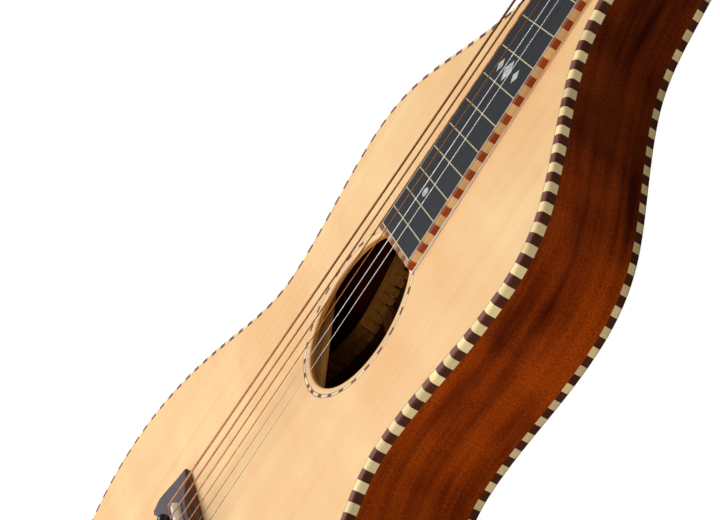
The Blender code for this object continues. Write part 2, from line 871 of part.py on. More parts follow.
def make_board_binding():
    """Rope binding down both edges and round the end of the board."""
    start = GAP
    inner_end = BOARD_LENGTH + GAP
    outer_end = inner_end + BOARD_BINDING_WIDTH
    near_in = board_half_width(start) + GAP
    far_in = board_half_width(inner_end) + GAP
    near_out = near_in + BOARD_BINDING_WIDTH
    far_out = board_half_width(outer_end) + GAP + BOARD_BINDING_WIDTH
    treble = [(start, near_in), (inner_end, far_in), (outer_end, far_out), (start, near_out)]
    outline = [treble[3], treble[2]] + [(s, -w) for s, w in (treble[2], treble[3])]
    outline += [(s, -w) for s, w in (treble[0], treble[1])] + [treble[1], treble[0]]
    Solid().prism(outline, GAP, BOARD_HEIGHT).make("fingerboard_binding", rope_binding)


def make_nut():
    """Tall bone nut, sloped toward the head."""
    profile = (
        (-NUT_THICKNESS, GAP),
        (0.0, GAP),
        (0.0, NUT_HEIGHT),
        (-0.25 * NUT_THICKNESS, NUT_HEIGHT),
        (-NUT_THICKNESS, NUT_BACK_HEIGHT),
    )
    rings = [[(s, side * NUT_HALF_LENGTH, h) for s, h in profile] for side in (-1, 1)]
    Solid().loft(rings).make("nut", bone)


# Bridge

def string_offset(index, s):
    """Distance of a string from the middle line, at a station."""
    place_in_set = index - (STRING_COUNT - 1) / 2
    share = s / SCALE_LENGTH
    spacing = STRING_SPACING_NUT + (STRING_SPACING_SADDLE - STRING_SPACING_NUT) * share
    return place_in_set * spacing


BRIDGE_SECTIONS = (
    (1.000, 0.912, 0.982, 0.243, 0.226),
    (0.967, 0.647, 1.178, 0.270, 0.243),
    (0.911, 0.312, 1.172, 0.313, 0.261),
    (0.867, 0.000, 1.117, 0.374, 0.278),
    (0.767, 0.000, 0.965, 0.452, 0.330),
    (0.667, 0.000, 0.872, 0.557, 0.400),
    (0.533, 0.000, 0.913, 0.783, 0.557),
    (0.422, 0.000, 0.971, 0.922, 0.678),
    (0.311, 0.000, 0.994, 1.000, 0.748),
    (0.000, 0.000, 1.000, 1.000, 0.765),
)


def bridge_sections():
    """Sections across the bridge: offset, front edge, rear edge, height, rear height."""
    for offset, front, rear, height, rear_height in BRIDGE_SECTIONS:
        yield (
            offset * BRIDGE_HALF_LENGTH,
            BRIDGE_FRONT + front * BRIDGE_WIDTH,
            BRIDGE_FRONT + rear * BRIDGE_WIDTH,
            height * BRIDGE_HEIGHT,
            rear_height * BRIDGE_HEIGHT,
        )


def bridge_ring(offset, front, rear, height, rear_height, slot):
    """One section, with the saddle's slot sunk where slot is true."""
    slot_front = SADDLE_FRONT - GAP
    slot_rear = SADDLE_FRONT + SADDLE_THICKNESS + GAP
    span = rear - front
    a = min(max(slot_front, front + 0.10 * span), front + 0.20 * span)
    b = max(min(slot_rear, front + 0.40 * span), a)
    if slot:
        a, b = slot_front, slot_rear
    floor = SADDLE_SEAT if slot else height
    crest = front + 0.62 * span
    return [
        (front, offset, GAP),
        (front, offset, height - BRIDGE_EDGE),
        (front + BRIDGE_EDGE, offset, height),
        (a, offset, height),
        (a, offset, floor),
        (b, offset, floor),
        (b, offset, height),
        (crest, offset, height - 0.08 * (height - rear_height)),
        (rear, offset, rear_height),
        (rear, offset, GAP),
    ]


def make_bridge():
    """Bat-wing bridge with the slot of the saddle and the holes of the pins."""
    slot_end = SADDLE_HALF_LENGTH + GAP
    outer = [row for row in bridge_sections() if row[0] > slot_end]
    inner = [row for row in bridge_sections() if row[0] <= slot_end]
    end_row = blend_rows(outer[-1], inner[0], slot_end)
    half = [(row, False) for row in outer] + [(end_row, False), (end_row, True)]
    half += [(row, True) for row in inner]
    rings = [bridge_ring(-row[0], *row[1:], slot) for row, slot in half]
    rings += [bridge_ring(*row, slot) for row, slot in half[-2::-1]]
    return Solid().loft(rings).make("bridge", rosewood)


def blend_rows(outer, inner, offset):
    share = (offset - inner[0]) / (outer[0] - inner[0])
    return tuple(i + (o - i) * share for o, i in zip(outer, inner))


def make_saddle():
    """Bone saddle with a rounded back edge and rounded ends."""
    front = SADDLE_FRONT
    back = SADDLE_FRONT + SADDLE_THICKNESS
    rings = []
    end = SADDLE_HALF_LENGTH
    end_round = ((0.0, 1.0), (0.36, 0.27), (1.0, 0.0))
    treble = [(end - share * SADDLE_END_ROUND, drop) for share, drop in end_round]
    bass = [(-offset, drop) for offset, drop in treble]
    for offset, drop in bass + treble[::-1]:
        top = SADDLE_TOP - drop * SADDLE_END_DROP
        rings.append([
            (front, offset, SADDLE_SEAT + GAP),
            (front, offset, top - SADDLE_EDGE),
            (front + SADDLE_EDGE, offset, top),
            (back - SADDLE_ROUND, offset, top),
            (back, offset, top - SADDLE_ROUND),
            (back, offset, SADDLE_SEAT + GAP),
        ])
    Solid().loft(rings).make("saddle", bone)


def pin_offset(index):
    return string_offset(index, STRING_DROP)


def pin_cutter():
    """Round holes with a slot in front, through bridge, soundboard and bridge plate."""
    holes = Solid()
    half_mouth = math.asin(PIN_SLOT_HALF_WIDTH / PIN_HOLE_RADIUS)
    for index in range(STRING_COUNT):
        centre = pin_offset(index)
        outline = [(PIN_SLOT_FRONT, centre + PIN_SLOT_HALF_WIDTH),
                   (PIN_SLOT_FRONT, centre - PIN_SLOT_HALF_WIDTH)]
        for step in range(PIN_HOLE_STEPS + 1):
            share = step / PIN_HOLE_STEPS
            turn = half_mouth - math.pi + (math.tau - 2 * half_mouth) * share
            outline.append((
                PIN_STATION + PIN_HOLE_RADIUS * math.cos(turn),
                centre + PIN_HOLE_RADIUS * math.sin(turn),
            ))
        low = -TOP_THICKNESS - 2 * BRIDGE_PLATE_THICKNESS
        holes.prism(outline, low, BRIDGE_HEIGHT + PIN_BALL_RISE)
    return holes.make("pin_cutter", None)


def make_pins():
    """Ball-headed bridge pins."""
    ball = BRIDGE_HEIGHT + PIN_BALL_RISE
    tip = -TOP_THICKNESS - BRIDGE_PLATE_THICKNESS - 2 * GAP
    profile = [(tip, 0.0), (tip, PIN_TIP_RADIUS), (BRIDGE_HEIGHT, PIN_RADIUS)]
    for degrees in (-60, -35, -8, 20, 48, 72, 90):
        turn = math.radians(degrees)
        profile.append((ball + PIN_BALL_RADIUS * math.sin(turn), PIN_BALL_RADIUS * math.cos(turn)))
    for index in range(STRING_COUNT):
        rings = []
        for h, radius in profile:
            ring = circle(PIN_STATION, pin_offset(index), radius, PIN_SIDES)
            rings.append([(s, w, h) for s, w in ring])
        Solid().loft(rings).make(f"bridge_pin_{index + 1}", black_plastic, smooth=True)


def make_bridge_plate():
    """Hardwood plate under the top, which takes the strings' ball ends."""
    top = -TOP_THICKNESS - GAP
    plate = Solid().block(
        BRIDGE_FRONT, BRIDGE_PLATE_BACK, BRIDGE_PLATE_HALF_LENGTH,
        top - BRIDGE_PLATE_THICKNESS, top,
    )
    return plate.make("bridge_plate", inner_mahogany)


# Head

def head_half_width(d):
    """Half width of the head: waisted behind the nut, flared, with a peaked crown."""
    if d <= HEAD_WAIST:
        share = d / HEAD_WAIST
        ease = share * share * (3 - 2 * share)
        return NUT_END_HALF_WIDTH + (HEAD_WAIST_HALF_WIDTH - NUT_END_HALF_WIDTH) * ease
    if d <= HEAD_CROWN_START:
        share = (d - HEAD_WAIST) / (HEAD_CROWN_START - HEAD_WAIST)
        ease = share * (2 - share)
        return HEAD_WAIST_HALF_WIDTH + (HEAD_HALF_WIDTH - HEAD_WAIST_HALF_WIDTH) * ease
    share = (d - HEAD_CROWN_START) / (HEAD_LENGTH - HEAD_CROWN_START)
    return HEAD_HALF_WIDTH * max(1 - share, 0.0) ** CROWN_SHARPNESS


def head_stations():
    """Distances along the head where its outline or its heel bends."""
    heel = [HEEL_LENGTH * share for share in (0.16, 0.30, 0.46, 0.64, 0.82, 1.0)]
    flare = [HEEL_LENGTH + (HEAD_CROWN_START - HEEL_LENGTH) * share for share in (0.33, 0.66, 1)]
    crown = [HEAD_CROWN_START + (HEAD_LENGTH - HEAD_CROWN_START) * share
             for share in (0.06, 0.16, 0.30, 0.48, 0.70, 0.97)]
    return heel + flare + crown


def heel_level(d):
    """Underside of the head block, curving up from the body's back."""
    if d >= HEEL_LENGTH:
        return -HEAD_THICKNESS
    full = depth(HEAD_STATION) / math.cos(HEAD_TILT)
    share = 1 - d / HEEL_LENGTH
    return -HEAD_THICKNESS - (full - HEAD_THICKNESS) * share ** 2.4


def make_headstock():
    """Head block with its heel, and the holes of the posts."""
    top = -FACEPLATE_THICKNESS - GAP
    foot = -depth(HEAD_STATION) / math.cos(HEAD_TILT)
    rings = []
    half = NUT_END_HALF_WIDTH
    low_end = [(half, top), (half, foot + HEEL_ROUND), (half - HEEL_ROUND, foot)]
    section = low_end + [(-w, z) for w, z in reversed(low_end)]
    rings.append([head_spot(nut_plane_distance(z), w, z) for w, z in section])
    for d in head_stations():
        half = head_half_width(d)
        level = heel_level(d)
        curve = min(HEEL_ROUND, 0.8 * half)
        corner = [(half, top), (half, level + HEEL_ROUND), (half - curve, level)]
        section = corner + [(-w, z) for w, z in reversed(corner)]
        rings.append([head_spot(d, w, z) for w, z in section])
    return Solid().loft(rings).make("headstock", mahogany)


def make_faceplate():
    """Thin plate on the head's face."""
    rings = []
    low = -FACEPLATE_THICKNESS
    for d in [0.0] + head_stations():
        half = head_half_width(d)
        section = [(half, 0.0), (half, low), (-half, low), (-half, 0.0)]
        ring = []
        for w, z in section:
            ring.append(head_spot(max(d, nut_plane_distance(z)), w, z))
        rings.append(ring)
    return Solid().loft(rings).make("headstock_faceplate", rosewood)


def post_spots():
    """Name, side and place of each tuner, bass side first, nut end first."""
    for side, word in ((-1, "bass"), (1, "treble")):
        for number, distance in enumerate(POST_DISTANCES, start=1):
            yield f"{word}_{number}", side, distance


def head_turning(distance, offset, profile, steps):
    """A turned body about a post's axis; profile points are (level, radius)."""
    rings = []
    for z, radius in profile:
        ring = circle(distance, offset, radius, steps)
        rings.append([head_spot(d, w, z) for d, w in ring])
    return rings


def post_cutter():
    holes = Solid()
    for _, side, distance in post_spots():
        bore = POST_RADIUS + POST_HOLE_CLEARANCE
        profile = ((-HEAD_THICKNESS - PLATE_THICKNESS, bore), (PLATE_THICKNESS, bore))
        holes.loft(head_turning(distance, side * POST_OFFSET, profile, POST_SIDES))
    return holes.make("post_cutter", None)


# Tuners

def make_tuner_plate(word, side):
    """Long plate under the head, with two ears for each worm."""
    rings = []
    ear_tip = WORM_LEVEL - EAR_RISE
    ear_out = EAR_INNER + EAR_THICKNESS

    def section(d, tip):
        right = [(EAR_INNER, PLATE_UNDER), (EAR_INNER, tip), (ear_out, tip), (ear_out, PLATE_UNDER),
                 (PLATE_HALF_WIDTH, PLATE_UNDER), (PLATE_HALF_WIDTH, PLATE_TOP)]
        points = right + [(-v, z) for v, z in reversed(right)]
        return [head_spot(d, side * POST_OFFSET + v, z) for v, z in points]

    start = POST_DISTANCES[0] - PLATE_FRONT_MARGIN
    rings.append(section(start, PLATE_UNDER))
    for distance in POST_DISTANCES:
        middle_ear = distance + WORM_DISTANCE
        for edge, tips in ((-EAR_HALF_LENGTH, (PLATE_UNDER, ear_tip)),
                           (EAR_HALF_LENGTH, (ear_tip, PLATE_UNDER))):
            for tip in tips:
                rings.append(section(middle_ear + edge, tip))
    end = POST_DISTANCES[-1] + WORM_DISTANCE + PLATE_REAR_MARGIN
    rings.append(section(end, PLATE_UNDER))
    plate = Solid().loft(rings).make(f"tuner_plate_{word}", nickel)
    holes = Solid()
    for distance in POST_DISTANCES:
        bore = POST_RADIUS + GAP
        profile = ((PLATE_UNDER - GAP, bore), (PLATE_TOP + GAP, bore))
        holes.loft(head_turning(distance, side * POST_OFFSET, profile, POST_SIDES))
        reach = PLATE_HALF_WIDTH
        ring_pair = []
        for v in (-reach, reach):
            ring = circle(distance + WORM_DISTANCE, WORM_LEVEL, WORM_SHAFT_RADIUS + GAP, POST_SIDES)
            ring_pair.append([head_spot(d, side * POST_OFFSET + v, z) for d, z in ring])
        holes.loft(ring_pair)
    cut([plate], holes.make(f"tuner_plate_cutter_{word}", None))


def wheel_outline():
    """Gear outline about the post's axis, with one tooth on the line to the worm."""
    points = []
    for tooth in range(WHEEL_TEETH):
        middle_turn = math.tau * tooth / WHEEL_TEETH
        for radius, offset in (
            (WHEEL_ROOT_RADIUS, -TOOTH_ROOT_HALF_WIDTH),
            (WHEEL_TIP_RADIUS, -TOOTH_TIP_HALF_WIDTH),
            (WHEEL_TIP_RADIUS, TOOTH_TIP_HALF_WIDTH),
            (WHEEL_ROOT_RADIUS, TOOTH_ROOT_HALF_WIDTH),
        ):
            turn = middle_turn + math.asin(offset / radius)
            points.append((radius * math.cos(turn), radius * math.sin(turn)))
    return points


def make_post(name, side, distance):
    """String post with its toothed wheel and the wheel's screw."""
    centre = side * POST_OFFSET
    wheel_top = WORM_LEVEL + WHEEL_THICKNESS / 2
    wheel_low = WORM_LEVEL - WHEEL_THICKNESS / 2
    cap = POST_HEIGHT - POST_CAP
    waist_start = POST_COLLAR
    screw_low = wheel_low - WHEEL_SCREW_HEIGHT
    profile = (
        (screw_low, 0.7 * WHEEL_SCREW_RADIUS),
        (screw_low + 0.4 * WHEEL_SCREW_HEIGHT, WHEEL_SCREW_RADIUS),
        (wheel_low + POST_EASE, WHEEL_SCREW_RADIUS),
        (wheel_top - POST_EASE, POST_RADIUS),
        (waist_start, POST_RADIUS),
        (waist_start + POST_EASE, POST_WAIST_RADIUS),
        (cap - POST_EASE, POST_WAIST_RADIUS),
        (cap, POST_RADIUS),
        (POST_HEIGHT - POST_EDGE, POST_RADIUS),
        (POST_HEIGHT, POST_RADIUS - POST_EDGE),
    )
    axis_point = head_spot(distance, centre, 0)
    post = Solid().loft(head_turning(distance, centre, profile, POST_SIDES))
    piece = post.make(f"tuner_post_{name}", nickel, origin=axis_point)
    outline = wheel_outline()
    rings = []
    for z in (wheel_low, wheel_top):
        rings.append([head_spot(distance + d, centre + w, z) for d, w in outline])
    wheel = Solid().loft(rings).make(f"wheel_shape_{name}", None)
    cut([piece], wheel, "UNION")


def worm_rings(side, distance):
    """Sections of the worm and its shaft, from the inner end outward."""
    step = THREAD_LEAD / THREAD_STEPS
    first = -(THREAD_RINGS - 1) / 2 * step
    last = (THREAD_RINGS - 1) / 2 * step
    facing = 3
    inner_end = -EAR_INNER - EAR_THICKNESS - WORM_SHAFT_END
    rows = [(inner_end, [WORM_SHAFT_RADIUS] * THREAD_STEPS),
            (first - step, [WORM_SHAFT_RADIUS] * THREAD_STEPS)]
    for ring in range(THREAD_RINGS):
        radii = []
        for spoke in range(THREAD_STEPS):
            raised = (ring - spoke + facing) % THREAD_STEPS < 2
            raised = raised and 0 < ring < THREAD_RINGS - 1
            radii.append(WORM_RADIUS if raised else WORM_VALLEY_RADIUS)
        rows.append((first + ring * step, radii))
    shaft_end = BUTTON_START + BUTTON_BORE_DEPTH - GAP
    rows.append((last + step, [WORM_SHAFT_RADIUS] * THREAD_STEPS))
    rows.append((shaft_end, [WORM_SHAFT_RADIUS] * THREAD_STEPS))
    rings = []
    for v, radii in rows:
        ring = []
        for spoke, radius in enumerate(radii):
            turn = math.tau * spoke / THREAD_STEPS
            toward_wheel = radius * math.cos(turn)
            # Right-handed about the shaft, whichever side it points to
            sideways = radius * math.sin(turn)
            d = distance + WORM_DISTANCE - toward_wheel
            z = WORM_LEVEL - side * sideways
            ring.append(head_spot(d, side * (POST_OFFSET + v), z))
        rings.append(ring)
    return rings


def worm_axis_point(side, distance):
    return head_spot(distance + WORM_DISTANCE, side * POST_OFFSET, WORM_LEVEL)


def make_worm(name, side, distance):
    """Worm with its shaft, in mesh with the wheel."""
    worm = Solid().loft(worm_rings(side, distance))
    worm.make(f"tuner_worm_{name}", nickel, origin=worm_axis_point(side, distance))


def make_button(name, side, distance):
    """Oval button, bored for the shaft's end."""
    start = BUTTON_START
    length = BUTTON_LENGTH
    wide = BUTTON_HALF_WIDTH
    thick = BUTTON_HALF_THICKNESS
    bore = WORM_SHAFT_RADIUS + GAP
    collar = BUTTON_COLLAR_RADIUS
    profile = (
        (start + BUTTON_BORE_DEPTH, bore, bore),
        (start, bore, bore),
        (start, collar, collar),
        (start + 0.14 * length, 0.85 * collar, 0.85 * collar),
        (start + 0.30 * length, 0.72 * wide, 0.80 * thick),
        (start + 0.52 * length, wide, thick),
        (start + 0.76 * length, 0.93 * wide, 0.95 * thick),
        (start + 0.93 * length, 0.62 * wide, 0.70 * thick),
        (start + length, 0.30 * wide, 0.36 * thick),
    )
    rings = []
    for v, half_d, half_z in profile:
        ring = []
        for spoke in range(BUTTON_SIDES):
            turn = math.tau * spoke / BUTTON_SIDES
            d = distance + WORM_DISTANCE + half_d * math.cos(turn)
            z = WORM_LEVEL + half_z * math.sin(turn)
            ring.append(head_spot(d, side * (POST_OFFSET + v), z))
        rings.append(ring)
    button = Solid().loft(rings)
    button.make(
        f"tuner_button_{name}", cream_button, origin=worm_axis_point(side, distance), smooth=True
    )


# Strings

def string_post(index):
    """Side and distance of the post that a string goes to: outer strings to the near posts."""
    if index < STRING_COUNT / 2:
        return -1, POST_DISTANCES[index]
    return 1, POST_DISTANCES[STRING_COUNT - 1 - index]


def to_head(s, h):
    """Distance along the head and level above its face, of a point beside the nut."""
    ds = HEAD_STATION - s
    d = ds * math.cos(HEAD_TILT) - h * math.sin(HEAD_TILT)
    z = ds * math.sin(HEAD_TILT) + h * math.cos(HEAD_TILT)
    return d, z


def string_turns(index, radius):
    """Where a string meets its post, its turns down the post, and its straight end."""
    side, distance = string_post(index)
    nut_d, _ = to_head(0, NUT_HEIGHT + GAP + radius)
    nut_w = abs(string_offset(index, 0))
    reach = POST_WAIST_RADIUS + GAP + radius
    gap_d = distance - nut_d
    gap_w = POST_OFFSET - nut_w
    span = math.hypot(gap_d, gap_w)
    heading = math.atan2(gap_w, gap_d) - math.asin(reach / span)
    start_turn = heading - math.pi / 2
    pitch = 2 * radius + WIND_SPACE
    points = []
    count = STRING_WINDS * WIND_POINTS
    for step in range(count + 1):
        share = step / WIND_POINTS
        turn = start_turn + math.tau * share
        points.append((
            distance + reach * math.cos(turn),
            POST_OFFSET + reach * math.sin(turn),
            STRING_ARRIVAL - pitch * share,
        ))
    leave = start_turn + math.pi / 2
    d, w, z = points[-1]
    points.append((d + 2 * radius * math.cos(leave), w + 2 * radius * math.sin(leave), z))
    return [head_spot(d, side * w, z) for d, w, z in points]


def string_route(index, radius):
    """Centre line of a string: ball end, pin slot, saddle, nut and post, with tube sizes."""
    drop_w = string_offset(index, STRING_DROP)
    saddle_w = string_offset(index, SADDLE_FRONT)
    crown = SADDLE_TOP + GAP + radius
    slope_sum = SADDLE_FRONT + SADDLE_THICKNESS + SADDLE_TOP - SADDLE_ROUND
    slope_sum += math.sqrt(2) * (GAP + radius)
    bend = slope_sum - crown
    entry = slope_sum - STRING_DROP
    plate_under = -TOP_THICKNESS - GAP - BRIDGE_PLATE_THICKNESS
    ball_top = plate_under - 2 * GAP
    ball = BALL_RADIUS / radius
    start = [
        (STRING_DROP, drop_w, ball_top - BALL_LENGTH, 0.6 * ball),
        (STRING_DROP, drop_w, ball_top - 0.8 * BALL_LENGTH, ball),
        (STRING_DROP, drop_w, ball_top - 0.2 * BALL_LENGTH, ball),
        (STRING_DROP, drop_w, ball_top, 1.0),
        (STRING_DROP, drop_w, entry - STRING_BEND, 1.0),
        (STRING_DROP - STRING_BEND, drop_w, entry + STRING_BEND, 1.0),
        (bend + STRING_BEND, saddle_w, crown - STRING_BEND, 1.0),
        (bend - STRING_BEND, saddle_w, crown, 1.0),
        (0.0, string_offset(index, 0), NUT_HEIGHT + GAP + radius, 1.0),
    ]
    turns = [(*point, 1.0) for point in string_turns(index, radius)]
    return start + turns


def make_string(index):
    """One string as an unbroken wire."""
    radius = STRING_RADII[index]
    name = f"string_{index + 1}"
    curve = bpy.data.curves.new(name, "CURVE")
    curve.dimensions = "3D"
    curve.bevel_depth = radius
    curve.bevel_resolution = 1
    curve.use_fill_caps = True
    curve.twist_mode = "MINIMUM"
    route = string_route(index, radius)
    line = curve.splines.new("POLY")
    line.points.add(len(route) - 1)
    for point, (s, w, h, size) in zip(line.points, route):
        point.co = (*place((s, w, h)), 1.0)
        point.radius = size
    wire = bpy.data.objects.new(name, curve)
    bpy.context.scene.collection.objects.link(wire)
    if index < STRING_COUNT - PLAIN_STRINGS:
        bronze_wire(wire)
    else:
        steel_wire(wire)


def report_winding_gap():
    """Least gap between the turns of each string, measured on the wire's points."""
    for index, radius in enumerate(STRING_RADII):
        turns = [place(point) for point in string_turns(index, radius)]
        nut = place((0.0, string_offset(index, 0), NUT_HEIGHT + GAP + radius))
        line = [nut + (turns[0] - nut) * (step / 40) for step in range(40)] + turns
        far = WIND_POINTS // 2
        least = min(
            (a - b).length for i, a in enumerate(line) for b in line[i + far:]
        )
        print(f"string {index + 1}: least gap between turns {1000 * (least - 2 * radius):.2f} mm")


# Assembly

def build():
    clear_scene()
    soundboard = make_soundboard()
    make_back()
    sides = [make_side("side_bass", -1), make_side("side_treble", 1)]
    make_bindings()
    make_linings()
    make_ring()
    tail_block = make_blocks()
    make_end_pin()
    cut(sides + [tail_block], end_pin_cutter())
    make_x_brace()
    make_cross_braces()
    make_fingerboard()
    make_board_binding()
    make_nut()
    bridge = make_bridge()
    make_saddle()
    make_pins()
    bridge_plate = make_bridge_plate()
    cut([bridge, soundboard, bridge_plate], pin_cutter())
    cut([make_headstock(), make_faceplate()], post_cutter())
    for side, word in ((-1, "bass"), (1, "treble")):
        make_tuner_plate(word, side)
    for name, side, distance in post_spots():
        make_post(name, side, distance)
        make_worm(name, side, distance)
        make_button(name, side, distance)
    for index in range(STRING_COUNT):
        make_string(index)
    report_winding_gap()


build()
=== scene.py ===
import math

import bmesh
import bpy
from mathutils import Matrix, Vector


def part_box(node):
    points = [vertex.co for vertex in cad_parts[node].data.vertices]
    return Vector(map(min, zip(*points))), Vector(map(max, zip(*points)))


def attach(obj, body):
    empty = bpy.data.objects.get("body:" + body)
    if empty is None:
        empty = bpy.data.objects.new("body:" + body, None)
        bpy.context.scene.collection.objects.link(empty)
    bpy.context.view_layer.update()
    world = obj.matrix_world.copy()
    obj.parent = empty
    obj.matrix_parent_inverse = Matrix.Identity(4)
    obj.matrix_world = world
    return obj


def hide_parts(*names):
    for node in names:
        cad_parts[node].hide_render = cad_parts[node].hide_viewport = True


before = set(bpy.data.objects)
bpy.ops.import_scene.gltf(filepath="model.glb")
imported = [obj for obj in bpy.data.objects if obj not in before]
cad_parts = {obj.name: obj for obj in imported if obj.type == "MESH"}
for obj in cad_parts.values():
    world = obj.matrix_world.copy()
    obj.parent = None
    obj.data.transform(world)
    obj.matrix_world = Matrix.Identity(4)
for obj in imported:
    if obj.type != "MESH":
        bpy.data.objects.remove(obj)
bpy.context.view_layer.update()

# The instrument's own frame
# The soundboard is flat, and the body under it gets deeper toward the tail, so with the back
# lying on the floor the top is tipped. Places are s from the nut to the tail, w to the treble
# side, and h up from the soundboard.

body_length = 0.834
nut_depth = 0.04395
tail_depth = 0.09049
tip = math.atan((tail_depth - nut_depth) / body_length)
nut_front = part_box("nut")[1].x


top_frame = Matrix((
    (math.cos(tip), 0, -math.sin(tip), nut_front),
    (0, 1, 0, 0),
    (math.sin(tip), 0, math.cos(tip), nut_depth * math.cos(tip)),
    (0, 0, 0, 1),
))


def place(s, w, h):
    return top_frame @ Vector((s, w, h))


def body_depth(s):
    return nut_depth + (tail_depth - nut_depth) * s / body_length


# Camera
# The place and the turn of the photograph's camera over the lower end of the treble side, looking
# along the strings toward the neck, with the head and the tail outside the picture.

camera_place = (0.265740, 0.792120, 0.354947)
camera_right = (-0.539080, 0.226981, -0.811093)
camera_down = (0.818005, 0.370514, -0.439986)
camera_ahead = (0.200653, -0.900666, -0.385409)
camera_focal = 1550.33
picture_width = 720


def turned(direction):
    start = place(0, 0, 0)
    return place(*direction) - start


camera = bpy.data.objects.new("camera", bpy.data.cameras.new("camera"))
bpy.context.scene.collection.objects.link(camera)
camera.data.sensor_width = 36
camera.data.lens = camera_focal / picture_width * camera.data.sensor_width
camera.data.clip_start = 0.02
camera.data.clip_end = 30
right, up, back = turned(camera_right), -turned(camera_down), -turned(camera_ahead)
turn = Matrix((right, up, back)).transposed().to_4x4()
camera.matrix_world = Matrix.Translation(place(*camera_place)) @ turn
bpy.context.scene.camera = camera

# Floor and light
# A plain white floor that keeps a soft shadow, a pale sky, and large soft lamps: one over the
# treble side and the tail, one low along the side, so that the gloss shows long soft highlights.

floor_half_size = 6.0

floor_mesh = bpy.data.meshes.new("floor")
floor_shape = bmesh.new()
bmesh.ops.create_grid(floor_shape, x_segments=1, y_segments=1, size=floor_half_size)
bmesh.ops.translate(floor_shape, verts=floor_shape.verts, vec=(0, 0, -0.0005))
floor_shape.to_mesh(floor_mesh)
floor_shape.free()
floor = bpy.data.objects.new("floor", floor_mesh)
bpy.context.scene.collection.objects.link(floor)


def new_material(name):
    """A material with its shader, and short ways to add and join nodes."""
    material = bpy.data.materials.new(name)
    material.use_nodes = True
    nodes = material.node_tree.nodes
    links = material.node_tree.links
    return material, nodes, links, nodes["Principled BSDF"]


floor_paint, nodes, links, shader = new_material("floor_white")
shader.inputs["Base Color"].default_value = (0.42, 0.42, 0.42, 1)
shader.inputs["Roughness"].default_value = 0.9
seen = nodes.new("ShaderNodeLightPath")
glow = nodes.new("ShaderNodeEmission")
glow.inputs["Color"].default_value = (1, 1, 1, 1)
glow.inputs["Strength"].default_value = 1.22
share = nodes.new("ShaderNodeMath")
share.operation = "MULTIPLY"
share.inputs[1].default_value = 0.80
mix = nodes.new("ShaderNodeMixShader")
dim = nodes.new("ShaderNodeEmission")
dim.inputs["Color"].default_value = (1, 0.93, 0.86, 1)
dim.inputs["Strength"].default_value = 0.05
mirrored = nodes.new("ShaderNodeMixShader")
links.new(seen.outputs["Is Camera Ray"], share.inputs[0])
links.new(share.outputs[0], mix.inputs[0])
links.new(shader.outputs[0], mix.inputs[1])
links.new(glow.outputs[0], mix.inputs[2])
links.new(seen.outputs["Is Glossy Ray"], mirrored.inputs[0])
links.new(mix.outputs[0], mirrored.inputs[1])
links.new(dim.outputs[0], mirrored.inputs[2])
links.new(mirrored.outputs[0], nodes["Material Output"].inputs["Surface"])
floor.data.materials.append(floor_paint)

world = bpy.data.worlds.new("sky")
world.use_nodes = True
bpy.context.scene.world = world
sky = world.node_tree.nodes["Background"]
sky.inputs["Color"].default_value = (1.0, 1.0, 1.0, 1)
sky.inputs["Strength"].default_value = 0.34
seen = world.node_tree.nodes.new("ShaderNodeLightPath")
white = world.node_tree.nodes.new("ShaderNodeBackground")
white.inputs["Color"].default_value = (1, 1, 1, 1)
white.inputs["Strength"].default_value = 1.0
dim = world.node_tree.nodes.new("ShaderNodeBackground")
dim.inputs["Color"].default_value = (1, 1, 1, 1)
dim.inputs["Strength"].default_value = 0.16
mirrored = world.node_tree.nodes.new("ShaderNodeMixShader")
mix = world.node_tree.nodes.new("ShaderNodeMixShader")
links = world.node_tree.links
links.new(seen.outputs["Is Glossy Ray"], mirrored.inputs[0])
links.new(sky.outputs[0], mirrored.inputs[1])
links.new(dim.outputs[0], mirrored.inputs[2])
links.new(seen.outputs["Is Camera Ray"], mix.inputs[0])
links.new(mirrored.outputs[0], mix.inputs[1])
links.new(white.outputs[0], mix.inputs[2])
links.new(mix.outputs[0], world.node_tree.nodes["World Output"].inputs["Surface"])


def lamp(name, spot, target, size, size_y, watts, spread=180):
    """A soft rectangular lamp that faces a point, and how wide its light fans out."""
    light = bpy.data.lights.new(name, "AREA")
    light.shape = "RECTANGLE"
    light.size = size
    light.size_y = size_y
    light.energy = watts
    light.spread = math.radians(spread)
    lamp_object = bpy.data.objects.new(name, light)
    bpy.context.scene.collection.objects.link(lamp_object)
    lamp_object.location = spot
    aim = Vector(target) - Vector(spot)
    lamp_object.rotation_euler = aim.to_track_quat("-Z", "Y").to_euler()


lamp("lamp_over", (0.7, -0.8, 2.0), (0.1, 0, 0.05), 1.2, 1.4, 37)
lamp("lamp_side", (2.4, 2.4, 1.6), (0.1, 0.1, 0.05), 1.2, 0.9, 38)
lamp("lamp_hole", (0.17, 1.0, 0.59), (0.127, 0, 0.072), 0.14, 0.14, 0.007, 14)
bpy.context.scene.view_settings.view_transform = "Standard"

# Body outline
# The plan of the body: a narrow hollow neck that swells into a small upper bout, a waist, and a
# wide lower bout with a slightly squared tail. Each stretch keeps its slope where two meet.

outline_knots = (
    (-0.0057, 0.0284, 0.01),
    (0.150, 0.0315, 0.04),
    (0.232, 0.0396, 0.12),
    (0.270, 0.0488, 0.48),
    (0.310, 0.0810, 1.00),
    (0.350, 0.1182, 0.68),
    (0.395, 0.1315, 0.0),
    (0.497, 0.1169, 0.0),
    (0.550, 0.1400, 0.70),
    (0.610, 0.1789, 0.50),
    (0.686, 0.1994, 0.0),
)
tail_power = 2 / 2.2
knot_steps = 9
tail_steps = 44
rope_zero = 0.300


